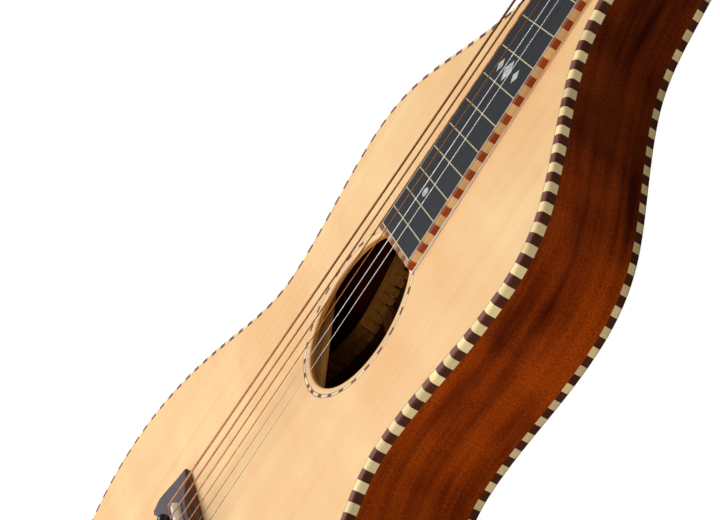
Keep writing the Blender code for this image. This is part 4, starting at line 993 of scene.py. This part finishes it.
board_length = 0.4223
board_height = 0.0045
board_nut_half_width = 0.0186
board_end_half_width = 0.0296
scale_length = 0.635
fret_line_width = 0.0007
fret_line_depth = 0.0009
fret_line_proud = 0.00002
fret_lines = 18


def board_half_width(s):
    share = s / board_length
    return board_nut_half_width + (board_end_half_width - board_nut_half_width) * share


def fret_station(number):
    return scale_length * (1 - 2 ** (-number / 12))


ebony_paint = wood(
    "ebony", (0.022, 0.026, 0.031, 1), (0.037, 0.042, 0.050, 1), (40, 900, 40), 0.5, 0.0, 0.2
)
repaint(ebony_paint, "fingerboard")


def plain_block(shape, low, high):
    """A rectangular block between two corners."""
    made = bmesh.ops.create_cube(shape, size=1)["verts"]
    bmesh.ops.scale(shape, vec=[b - a for a, b in zip(low, high)], verts=made)
    bmesh.ops.translate(shape, vec=[(a + b) / 2 for a, b in zip(low, high)], verts=made)


line_wood = wood("fret_line_maple", (0.46, 0.40, 0.23, 1), (0.60, 0.53, 0.32, 1), (300, 20, 300))
shape = bmesh.new()
for number in range(1, fret_lines + 1):
    s = fret_station(number)
    reach = board_half_width(s) - 0.0001
    plain_block(
        shape,
        (s - fret_line_width / 2, -reach, board_height - fret_line_depth),
        (s + fret_line_width / 2, reach, board_height + fret_line_proud),
    )
bmesh.ops.transform(shape, matrix=top_frame, verts=shape.verts)
finished(shape, "fret_lines", "guitar", line_wood)

# Position marks
# Mother of pearl let into the ebony: plain dots, and three lozenges at the octave.

pearl_thickness = 0.0008
pearl_proud = 0.00004
dot_reach = (0.0029, 0.0029)
marks = (
    (5, 0.0, 32, dot_reach),
    (7, 0.0, 32, dot_reach),
    (12, 0.0, 4, (0.0068, 0.0052)),
    (12, -0.0125, 4, (0.0045, 0.0032)),
    (12, 0.0125, 4, (0.0045, 0.0032)),
    (17, -0.0024, 32, dot_reach),
)

pearl_paint, nodes, links, shader = new_material("pearl")
spot = nodes.new("ShaderNodeTexCoord")
cloud = nodes.new("ShaderNodeTexNoise")
cloud.inputs["Scale"].default_value = 320
cloud.inputs["Detail"].default_value = 3
cloud.inputs["Distortion"].default_value = 1.2
ramp = nodes.new("ShaderNodeValToRGB")
ramp.color_ramp.elements[0].position = 0.35
ramp.color_ramp.elements[0].color = (0.36, 0.44, 0.42, 1)
ramp.color_ramp.elements[1].position = 0.65
ramp.color_ramp.elements[1].color = (0.72, 0.74, 0.70, 1)
links.new(spot.outputs["Object"], cloud.inputs["Vector"])
links.new(cloud.outputs["Fac"], ramp.inputs[0])
links.new(ramp.outputs["Color"], shader.inputs["Base Color"])
shader.inputs["Roughness"].default_value = 0.25

shape = bmesh.new()
for space, offset, corners, reach in marks:
    s = (fret_station(space - 1) + fret_station(space)) / 2
    made = bmesh.ops.create_cone(
        shape, cap_ends=True, segments=corners, radius1=1, radius2=1, depth=pearl_thickness,
    )["verts"]
    bmesh.ops.scale(shape, vec=(*reach, 1), verts=made)
    level = board_height + pearl_proud - pearl_thickness / 2
    bmesh.ops.translate(shape, vec=(s, offset, level), verts=made)
bmesh.ops.transform(shape, matrix=top_frame, verts=shape.verts)
finished(shape, "position_marks", "guitar", pearl_paint)

# Fingerboard binding
# Rope of maple and mahogany blocks down both edges and round the end of the board, with a pale
# line of veneer between it and the ebony. Its outer corner is rounded.

board_binding_width = 0.0038
board_veneer = 0.0006
board_round = 0.0011
board_rope_period = 0.0119
board_light_share = 6.27 / 11.9
board_light_colour = (0.80, 0.48, 0.20, 1)
board_dark_colour = (0.36, 0.052, 0.006, 1)
# Painted shade: the top face of the board's rope is drawn darker and greyer than its side.
board_top_shade_colour = (0.17, 0.12, 0.10, 1)
treble_light_start = 0.26021
bass_light_start = 0.42480
end_light_start = 0.00103
end_stretch = 11.9 / 12.4
blocks_before = 60
foot_white_strip = 0.0010
foot_line = 0.0003
foot_height = 0.0009
foot_fade_tone = (0.82, 0.52, 0.26, 1)

board_rope_paint = rope_material(
    "board_rope", board_rope_period, board_light_share, board_light_colour, board_dark_colour, 0.4,
    board_top_shade_colour, 0.55,
)
veneer_paint = wood("veneer", (0.70, 0.54, 0.34, 1), (0.82, 0.66, 0.44, 1), (300, 300, 300))

foot_white_paint = wood("foot_white", (0.94, 0.88, 0.76, 1), (0.99, 0.96, 0.90, 1),
                          (300, 300, 300))


def fade(material, tone, start, end):
    """Blend the piece into another tone toward the head, between two stations."""
    nodes, links = material.node_tree.nodes, material.node_tree.links
    shader = nodes["Principled BSDF"]
    spot = nodes.new("ShaderNodeTexCoord")
    split = nodes.new("ShaderNodeSeparateXYZ")
    share = nodes.new("ShaderNodeMapRange")
    share.inputs["From Min"].default_value = place(start, 0, 0).x
    share.inputs["From Max"].default_value = place(end, 0, 0).x
    blend = nodes.new("ShaderNodeMix")
    blend.data_type = "RGBA"
    blend.inputs["A"].default_value = tone
    links.new(spot.outputs["Object"], split.inputs[0])
    links.new(split.outputs["X"], share.inputs["Value"])
    links.new(share.outputs[0], blend.inputs["Factor"])
    if shader.inputs["Base Color"].links:
        links.new(shader.inputs["Base Color"].links[0].from_socket, blend.inputs["B"])
    else:
        blend.inputs["B"].default_value = shader.inputs["Base Color"].default_value
    links.new(blend.outputs["Result"], shader.inputs["Base Color"])


def board_corners(offset):
    """Corners of a line round the board, outside the ebony: bass side, end, treble side."""
    start, end = gap, board_length + offset
    near, far = board_half_width(start) + offset, board_half_width(end) + offset
    return [(start, -near), (end, -far), (end, far), (start, near)]


def board_strip(profile, name, paint, replaced=()):
    """Three strips round the board, mitred at its corners; profile points are (offset, h)."""
    shape = bmesh.new()
    layer = shape.verts.layers.float.new("along")
    paths = [board_corners(offset) for offset, _ in profile]
    runs = ((0, 0, bass_light_start, 1), (1, 1, end_light_start, end_stretch),
            (2, 0, treble_light_start, 1))
    for first, axis, zero, stretch in runs:
        before = len(shape.verts)
        rings = [[(*path[k], h) for path, (_, h) in zip(paths, profile)]
                 for k in (first, first + 1)]
        face = shape.faces.new([shape.verts.new(spot) for spot in rings[0]])
        carry(shape, face, rings[1])
        shape.verts.ensure_lookup_table()
        for corner in shape.verts[before:]:
            distance = (corner.co[axis] - zero) * stretch
            corner[layer] = distance + blocks_before * board_rope_period
    bmesh.ops.transform(shape, matrix=top_frame, verts=shape.verts)
    finished(shape, name, "guitar", paint, replaced)


outside = gap + board_binding_width
rope_section = [(board_veneer, gap), (outside, gap), (outside, board_height - board_round)]
for step in range(1, 6):
    turn = step / 5 * math.pi / 2
    rope_section.append((
        outside - board_round * (1 - math.cos(turn)),
        board_height - board_round * (1 - math.sin(turn)),
    ))
rope_section.append((board_veneer, board_height))
board_strip(rope_section, "board_rope", board_rope_paint, ("fingerboard_binding",))
veneer_section = [
    (0.00005, gap), (board_veneer, gap), (board_veneer, board_height), (0.00005, board_height),
]
board_strip(veneer_section, "board_veneer", veneer_paint)
# A thin near-white strip on the spruce at the foot of the board's rope, and a grey hair outside it;
# both blend to a tan tone toward the head.
foot_paint = wood("foot_grey", line_dark_colour, line_light_colour, (300, 300, 300))
fade(foot_white_paint, foot_fade_tone, 0.30, 0.385)
fade(foot_paint, foot_fade_tone, 0.30, 0.385)
for name, start, end, height, paint in (
    ("foot_white_strip", outside, outside + foot_white_strip, foot_height, foot_white_paint),
    ("foot_line", outside + foot_white_strip, outside + foot_white_strip + foot_line, 0.0001, foot_paint),
):
    foot = [(start, -foot_height), (end, -foot_height), (end, height), (start, height)]
    board_strip(foot, name, paint)

# Nut and saddle
# Two pieces of bone, polished by the strings. The nut stands tall, so that the strings clear the
# board by a steel bar's height.


def eased(node, name, body, paint, bevel=0.0, smooth=30):
    """A copy of a CAD solid with its triangles joined, and its hard edges eased."""
    shape = bmesh.new()
    shape.from_mesh(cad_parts[node].data)
    bmesh.ops.remove_doubles(shape, verts=shape.verts, dist=2e-6)
    bmesh.ops.dissolve_limit(
        shape, angle_limit=math.radians(0.5), verts=shape.verts, edges=shape.edges
    )
    if bevel:
        hard = [edge for edge in shape.edges if len(edge.link_faces) == 2
                and edge.calc_face_angle(0) > math.radians(smooth)]
        bmesh.ops.bevel(
            shape, geom=hard, offset=bevel, segments=2, profile=0.5, affect="EDGES",
            clamp_overlap=True, material=-1,
        )
    return finished(shape, name, body, paint, (node,), smooth)


bone_paint = wood("bone", (0.93, 0.89, 0.80, 1), (0.99, 0.97, 0.92, 1), (200, 40, 200), 0.32, 0.3)
eased("nut", "nut_bone", "guitar", bone_paint, 0.0004)
eased("saddle", "saddle_bone", "guitar", bone_paint, 0.0003)

# Bridge
# A bat-wing bridge of rosewood: flat where the pins go in, thin pointed wings, an oiled surface
# with streaks along its length, and a painted bluish sheen on the faces that look up.

# Painted sheen: faces that look up are blended toward this bluish grey.
bridge_top_sheen = (0.115, 0.132, 0.175, 1)

bridge_paint = wood(
    "bridge_rosewood", (0.008, 0.006, 0.006, 1), (0.20, 0.085, 0.038, 1), (700, 18, 700), 0.5, 0.0,
    0.15,
)
nodes, links = bridge_paint.node_tree.nodes, bridge_paint.node_tree.links
shader = nodes["Principled BSDF"]
streaks = shader.inputs["Base Color"].links[0].from_socket
facing = nodes.new("ShaderNodeNewGeometry")
upward = nodes.new("ShaderNodeSeparateXYZ")
facing_up = nodes.new("ShaderNodeMapRange")
facing_up.inputs["From Min"].default_value = 0.80
facing_up.inputs["From Max"].default_value = 0.99
facing_up.inputs["To Max"].default_value = 0.6
top_sheen = nodes.new("ShaderNodeMix")
top_sheen.data_type = "RGBA"
top_sheen.inputs["B"].default_value = bridge_top_sheen
links.new(facing.outputs["Normal"], upward.inputs[0])
links.new(upward.outputs["Z"], facing_up.inputs["Value"])
links.new(facing_up.outputs[0], top_sheen.inputs["Factor"])
links.new(streaks, top_sheen.inputs["A"])
links.new(top_sheen.outputs["Result"], shader.inputs["Base Color"])
eased("bridge", "bridge_rosewood", "guitar", bridge_paint, 0.0004, 24)

# Bridge pins
# Six black pins with round heads hold the strings' ends in their holes.

pin_station = 0.6515
pin_drop_station = 0.6480
pin_rise = 0.0165
pin_ball = 0.00398
pin_neck = 0.0019
pin_collar = 0.0023
pin_seat = 0.0116
pin_tip = -0.0063
pin_tip_radius = 0.0018
nut_spacing = 0.00773
saddle_spacing = 0.01253
string_count = 6

black_paint, nodes, links, shader = new_material("black_gloss")
spot = nodes.new("ShaderNodeTexCoord")
haze = nodes.new("ShaderNodeTexNoise")
haze.inputs["Scale"].default_value = 900
level = nodes.new("ShaderNodeMapRange")
level.inputs["To Min"].default_value = 0.12
level.inputs["To Max"].default_value = 0.24
links.new(spot.outputs["Object"], haze.inputs["Vector"])
links.new(haze.outputs["Fac"], level.inputs["Value"])
links.new(level.outputs[0], shader.inputs["Roughness"])
shader.inputs["Base Color"].default_value = (0.012, 0.012, 0.013, 1)

for index in range(string_count):
    section = [(0, pin_tip), (pin_tip_radius, pin_tip), (pin_collar, pin_seat - 0.0004),
               (pin_collar, pin_seat + 0.0006)]
    start = math.asin(-math.sqrt(1 - (pin_neck / pin_ball) ** 2))
    for step in range(15):
        turn = start + (math.pi / 2 - start) * step / 14
        section.append((pin_ball * math.cos(turn), pin_rise + pin_ball * math.sin(turn)))
    section[-1] = (0, pin_rise + pin_ball)
    spacing = nut_spacing + (saddle_spacing - nut_spacing) * pin_drop_station / scale_length
    offset = (index - (string_count - 1) / 2) * spacing
    shape = turned_profile(section, 28, (pin_station, offset))
    bmesh.ops.transform(shape, matrix=top_frame, verts=shape.verts)
    finished(
        shape, f"pin_{index + 1}", "guitar", black_paint,
        (f"bridge_pin_{index + 1}",), 50,
    )

# Strings
# Four strings wrapped in bronze and two of plain steel, from their pins over the saddle and the
# nut to their posts.


def wire(name, low, high, roughness, metallic=1.0):
    """Drawn metal with a hair of dullness where fingers and bar have worn it."""
    material, nodes, links, shader = new_material(name)
    spot = nodes.new("ShaderNodeTexCoord")
    wear = nodes.new("ShaderNodeTexNoise")
    wear.inputs["Scale"].default_value = 180
    wear.inputs["Detail"].default_value = 4
    ramp = nodes.new("ShaderNodeValToRGB")
    ramp.color_ramp.elements[0].position = 0.35
    ramp.color_ramp.elements[0].color = low
    ramp.color_ramp.elements[1].position = 0.65
    ramp.color_ramp.elements[1].color = high
    links.new(spot.outputs["Object"], wear.inputs["Vector"])
    links.new(wear.outputs["Fac"], ramp.inputs[0])
    links.new(ramp.outputs["Color"], shader.inputs["Base Color"])
    shader.inputs["Metallic"].default_value = metallic
    shader.inputs["Roughness"].default_value = roughness
    return material


wound_strings = 4
# Painted light: the plain steel is dark olive near the bridge, which is painted shade, and turns near
# white toward the head, which is a painted highlight. The bronze turns darker toward the head, which is
# painted shade.
bronze_paint = wire("bronze_wrap", (0.48, 0.205, 0.095, 1), (0.62, 0.29, 0.15, 1), 0.42, 0.75)
steel_paint = wire("plain_steel", (0.17, 0.145, 0.095, 1), (0.25, 0.22, 0.15, 1), 0.34, 0.6)
fade(bronze_paint, (0.29, 0.105, 0.033, 1), 0.44, 0.62)
fade(steel_paint, (0.99, 0.96, 0.94, 1), 0.38, 0.60)
for number in range(1, string_count + 1):
    wound = number <= wound_strings
    eased(
        f"string_{number}", f"wire_{number}", "guitar", bronze_paint if wound else steel_paint,
        0.0, 60,
    )

# Head
# The mahogany head block with its heel, and a thin rosewood plate glued on its face. Each post
# passes through a nickel bushing pressed into the plate.

head_tilt = math.radians(4.5)
head_station = -0.0061
post_distances = (0.046, 0.083, 0.120)
post_offset = 0.0200
post_radius = 0.0030
bushing_inner = 0.00345
bushing_outer = 0.0054
bushing_height = 0.0013
head_frame = top_frame @ Matrix((
    (-math.cos(head_tilt), 0, -math.sin(head_tilt), head_station),
    (0, 1, 0, 0),
    (-math.sin(head_tilt), 0, math.cos(head_tilt), 0),
    (0, 0, 0, 1),
))

head_paint = wood("head_mahogany", (0.060, 0.012, 0.004, 1), (0.17, 0.046, 0.013, 1),
                  (9, 160, 160), 0.35, 0.8)
plate_paint = wood("faceplate_rosewood", (0.030, 0.014, 0.010, 1), (0.105, 0.048, 0.030, 1),
                   (8, 260, 260), 0.35, 0.8)
nickel_paint = wire("nickel", (0.52, 0.50, 0.46, 1), (0.66, 0.64, 0.60, 1), 0.26)
eased("headstock", "head_block", "guitar", head_paint, 0.0006)
eased("headstock_faceplate", "head_face", "guitar", plate_paint, 0.0004)

tuners = [(side, word, number, distance) for side, word in ((-1, "bass"), (1, "treble"))
          for number, distance in enumerate(post_distances, start=1)]
for side, word, number, distance in tuners:
    section = [
        (bushing_inner, 0.0001),
        (bushing_outer, 0.0001),
        (bushing_outer, 0.4 * bushing_height),
        (bushing_outer - 0.0008, bushing_height),
        (bushing_inner + 0.0003, bushing_height),
        (bushing_inner, bushing_height - 0.0003),
    ]
    shape = turned_profile(section, 36, (distance, side * post_offset))
    bmesh.ops.transform(shape, matrix=head_frame, verts=shape.verts)
    finished(shape, f"bushing_{word}_{number}", "guitar", nickel_paint)

# Tuner plates
# Three tuners a side share one long nickel plate, held under the head by round-headed screws.

plate_under = -0.0145
screw_radius = 0.0026
screw_height = 0.0013
screw_distances = (0.0685, 0.1055)

for side, word in ((-1, "bass"), (1, "treble")):
    eased(f"tuner_plate_{word}", f"plate_{word}", "guitar", nickel_paint, 0.0002)
    for number, distance in enumerate(screw_distances, start=1):
        section = [(0, plate_under), (screw_radius, plate_under)]
        for step in range(1, 7):
            turn = step / 6 * math.pi / 2
            section.append((
                screw_radius * math.cos(turn), plate_under - screw_height * math.sin(turn)
            ))
        section[-1] = (0, plate_under - screw_height)
        shape = turned_profile(section, 24, (distance, side * post_offset))
        bmesh.ops.transform(shape, matrix=head_frame, verts=shape.verts)
        finished(shape, f"screw_{word}_{number}", "guitar", nickel_paint)

# Posts and wheels
# A turned nickel post carries a brass wheel of fourteen teeth on its lower end, with a screw.

worm_level = -0.0176
wheel_teeth = 14
wheel_root = 0.00585
wheel_tip = 0.00695
wheel_thickness = 0.0024
tooth_tip_half = 0.00035
tooth_root_half = 0.00060
post_height = 0.0165
post_waist = 0.0026
post_cap = 0.0030
post_collar = 0.0018
wheel_screw = 0.0026
wheel_screw_height = 0.0014

brass_paint = wire("brass_wheel", (0.60, 0.42, 0.16, 1), (0.78, 0.58, 0.26, 1), 0.30)
wheel_top = worm_level + wheel_thickness / 2
wheel_low = worm_level - wheel_thickness / 2
cap_low = post_height - post_cap
post_section = [
    (0, wheel_low - wheel_screw_height),
    (0.7 * wheel_screw, wheel_low - wheel_screw_height),
    (0.92 * wheel_screw, wheel_low - 0.85 * wheel_screw_height),
    (wheel_screw, wheel_low - 0.6 * wheel_screw_height),
    (wheel_screw, wheel_low + 0.0005),
    (post_radius, wheel_top - 0.0005),
    (post_radius, post_collar),
    (post_waist, post_collar + 0.0005),
    (post_waist, cap_low - 0.0005),
    (post_radius, cap_low),
    (post_radius, post_height - 0.0008),
    (post_radius - 0.00025, post_height - 0.0003),
    (post_radius - 0.0008, post_height),
    (0, post_height),
]
for side, word, number, distance in tuners:
    shape = turned_profile(post_section, 32, (distance, side * post_offset))
    bmesh.ops.transform(shape, matrix=head_frame, verts=shape.verts)
    finished(
        shape, f"post_{word}_{number}", f"post_{word}_{number}", nickel_paint,
        (f"tuner_post_{word}_{number}",), 40,
    )
    shape = bmesh.new()
    outline = []
    for tooth in range(wheel_teeth):
        for radius, half in ((wheel_root, -tooth_root_half), (wheel_tip, -tooth_tip_half),
                             (wheel_tip, tooth_tip_half), (wheel_root, tooth_root_half)):
            turn = math.tau * tooth / wheel_teeth + math.asin(half / radius)
            spot = (distance + radius * math.cos(turn),
                    side * post_offset + radius * math.sin(turn), wheel_low)
            outline.append(shape.verts.new(spot))
    face = shape.faces.new(outline)
    made = bmesh.ops.extrude_face_region(shape, geom=[face], use_keep_orig=True)["geom"]
    lifted = [item for item in made if isinstance(item, bmesh.types.BMVert)]
    bmesh.ops.translate(shape, verts=lifted, vec=(0, 0, wheel_thickness))
    bmesh.ops.transform(shape, matrix=head_frame, verts=shape.verts)
    finished(shape, f"wheel_{word}_{number}", f"post_{word}_{number}", brass_paint)

# Worms
# A steel shaft in the plate's two ears, with two turns of thread in mesh with the wheel.

worm_distance = 0.0090
worm_radius = 0.0028
worm_valley = 0.0017
shaft_radius = 0.0015
shaft_inner = -0.0072
shaft_outer = 0.0202
thread_half_length = 0.0034
thread_steps = 28
thread_turns = 2
lead = math.tau * (wheel_root + wheel_tip) / 2 / wheel_teeth

for side, word, number, distance in tuners:
    along_worm = head_frame @ Matrix((
        (-1, 0, 0, distance + worm_distance),
        (0, 0, side, side * post_offset),
        (0, -side, 0, worm_level),
        (0, 0, 0, 1),
    ))
    section = [
        (0, shaft_inner), (shaft_radius - 0.0002, shaft_inner), (shaft_radius, shaft_inner + 0.0002),
        (shaft_radius, -thread_half_length), (worm_valley, -thread_half_length),
        (worm_valley, thread_half_length), (shaft_radius, thread_half_length),
        (shaft_radius, shaft_outer), (0, shaft_outer),
    ]
    shape = turned_profile(section, 24)
    corners = [shape.verts.new((-radius, 0, -lead + v)) for radius, v in (
        (worm_valley - 0.0001, -0.00075), (worm_radius, -0.00030),
        (worm_radius, 0.00030), (worm_valley - 0.0001, 0.00075),
    )]
    band = [shape.faces.new(corners)]
    band += corners
    band += list(band[0].edges)
    bmesh.ops.spin(
        shape, geom=band, cent=(0, 0, 0), axis=(0, 0, 1), dvec=(0, 0, lead / thread_steps),
        angle=thread_turns * math.tau, steps=thread_turns * thread_steps,
    )
    bmesh.ops.transform(shape, matrix=along_worm, verts=shape.verts)
    finished(
        shape, f"worm_{word}_{number}", f"worm_{word}_{number}", nickel_paint,
        (f"tuner_worm_{word}_{number}",), 40,
    )

# Buttons
# Oval buttons of cream plastic pressed on the shafts.

button_start = 0.0150
button_length = 0.0160
button_half_width = 0.0075
button_half_thickness = 0.0042
button_collar = 0.0032
button_steps = 32

cream_paint = wood("cream_button", (0.66, 0.56, 0.36, 1), (0.78, 0.69, 0.48, 1), (70, 70, 70),
                   0.28, 0.4)
button_rows = (
    (0.345, 0.0018 / button_half_width, 0.0018 / button_half_thickness),
    (0.0, 0.0018 / button_half_width, 0.0018 / button_half_thickness),
    (0.0, 0.0030 / button_half_width, 0.0030 / button_half_thickness),
    (0.02, 0.0032 / button_half_width, 0.0032 / button_half_thickness),
    (0.08, 0.0030 / button_half_width, 0.0030 / button_half_thickness),
    (0.14, 0.37, 0.65),
    (0.21, 0.52, 0.70),
    (0.30, 0.73, 0.80),
    (0.40, 0.91, 0.94),
    (0.52, 0.99, 0.99),
    (0.64, 0.98, 0.98),
    (0.76, 0.91, 0.93),
    (0.86, 0.78, 0.83),
    (0.93, 0.61, 0.68),
    (0.975, 0.40, 0.46),
    (0.998, 0.16, 0.20),
)
for side, word, number, distance in tuners:
    rings = []
    for share, wide, thick in button_rows:
        ring = []
        for spoke in range(button_steps):
            turn = math.tau * spoke / button_steps
            ring.append(head_frame @ Vector((
                distance + worm_distance + wide * button_half_width * math.cos(turn),
                side * (post_offset + button_start + share * button_length),
                worm_level + thick * button_half_thickness * math.sin(turn),
            )))
        rings.append(ring)
    finished(
        lofted(rings), f"button_{word}_{number}", f"worm_{word}_{number}", cream_paint,
        (f"tuner_button_{word}_{number}",), 50,
    )

# End pin
# A turned black pin for a strap, pushed into the tail block.

pin_flange = 0.0075
pin_length = 0.0115
pin_shank_length = 0.0140
pin_shank = 0.0030

face_station = body_length + gap
section = [(0, -pin_shank_length), (pin_shank, -pin_shank_length), (pin_shank, 0)]
for share, reach in (
    (0.0, 0.98), (0.03, 1.0), (0.10, 0.99), (0.16, 0.93), (0.24, 0.74), (0.33, 0.57), (0.42, 0.50),
    (0.52, 0.53), (0.62, 0.66), (0.72, 0.75), (0.82, 0.76), (0.90, 0.72), (0.96, 0.60), (1.0, 0.38),
):
    section.append((reach * pin_flange, share * pin_length))
section.append((0, pin_length))
shape = turned_profile(section, 40)
lie_along = top_frame @ Matrix((
    (0, 0, 1, face_station),
    (0, 1, 0, 0),
    (-1, 0, 0, -tail_depth / 2),
    (0, 0, 0, 1),
))
bmesh.ops.transform(shape, matrix=lie_along, verts=shape.verts)
finished(shape, "strap_pin", "guitar", black_paint, ("end_pin",), 50)
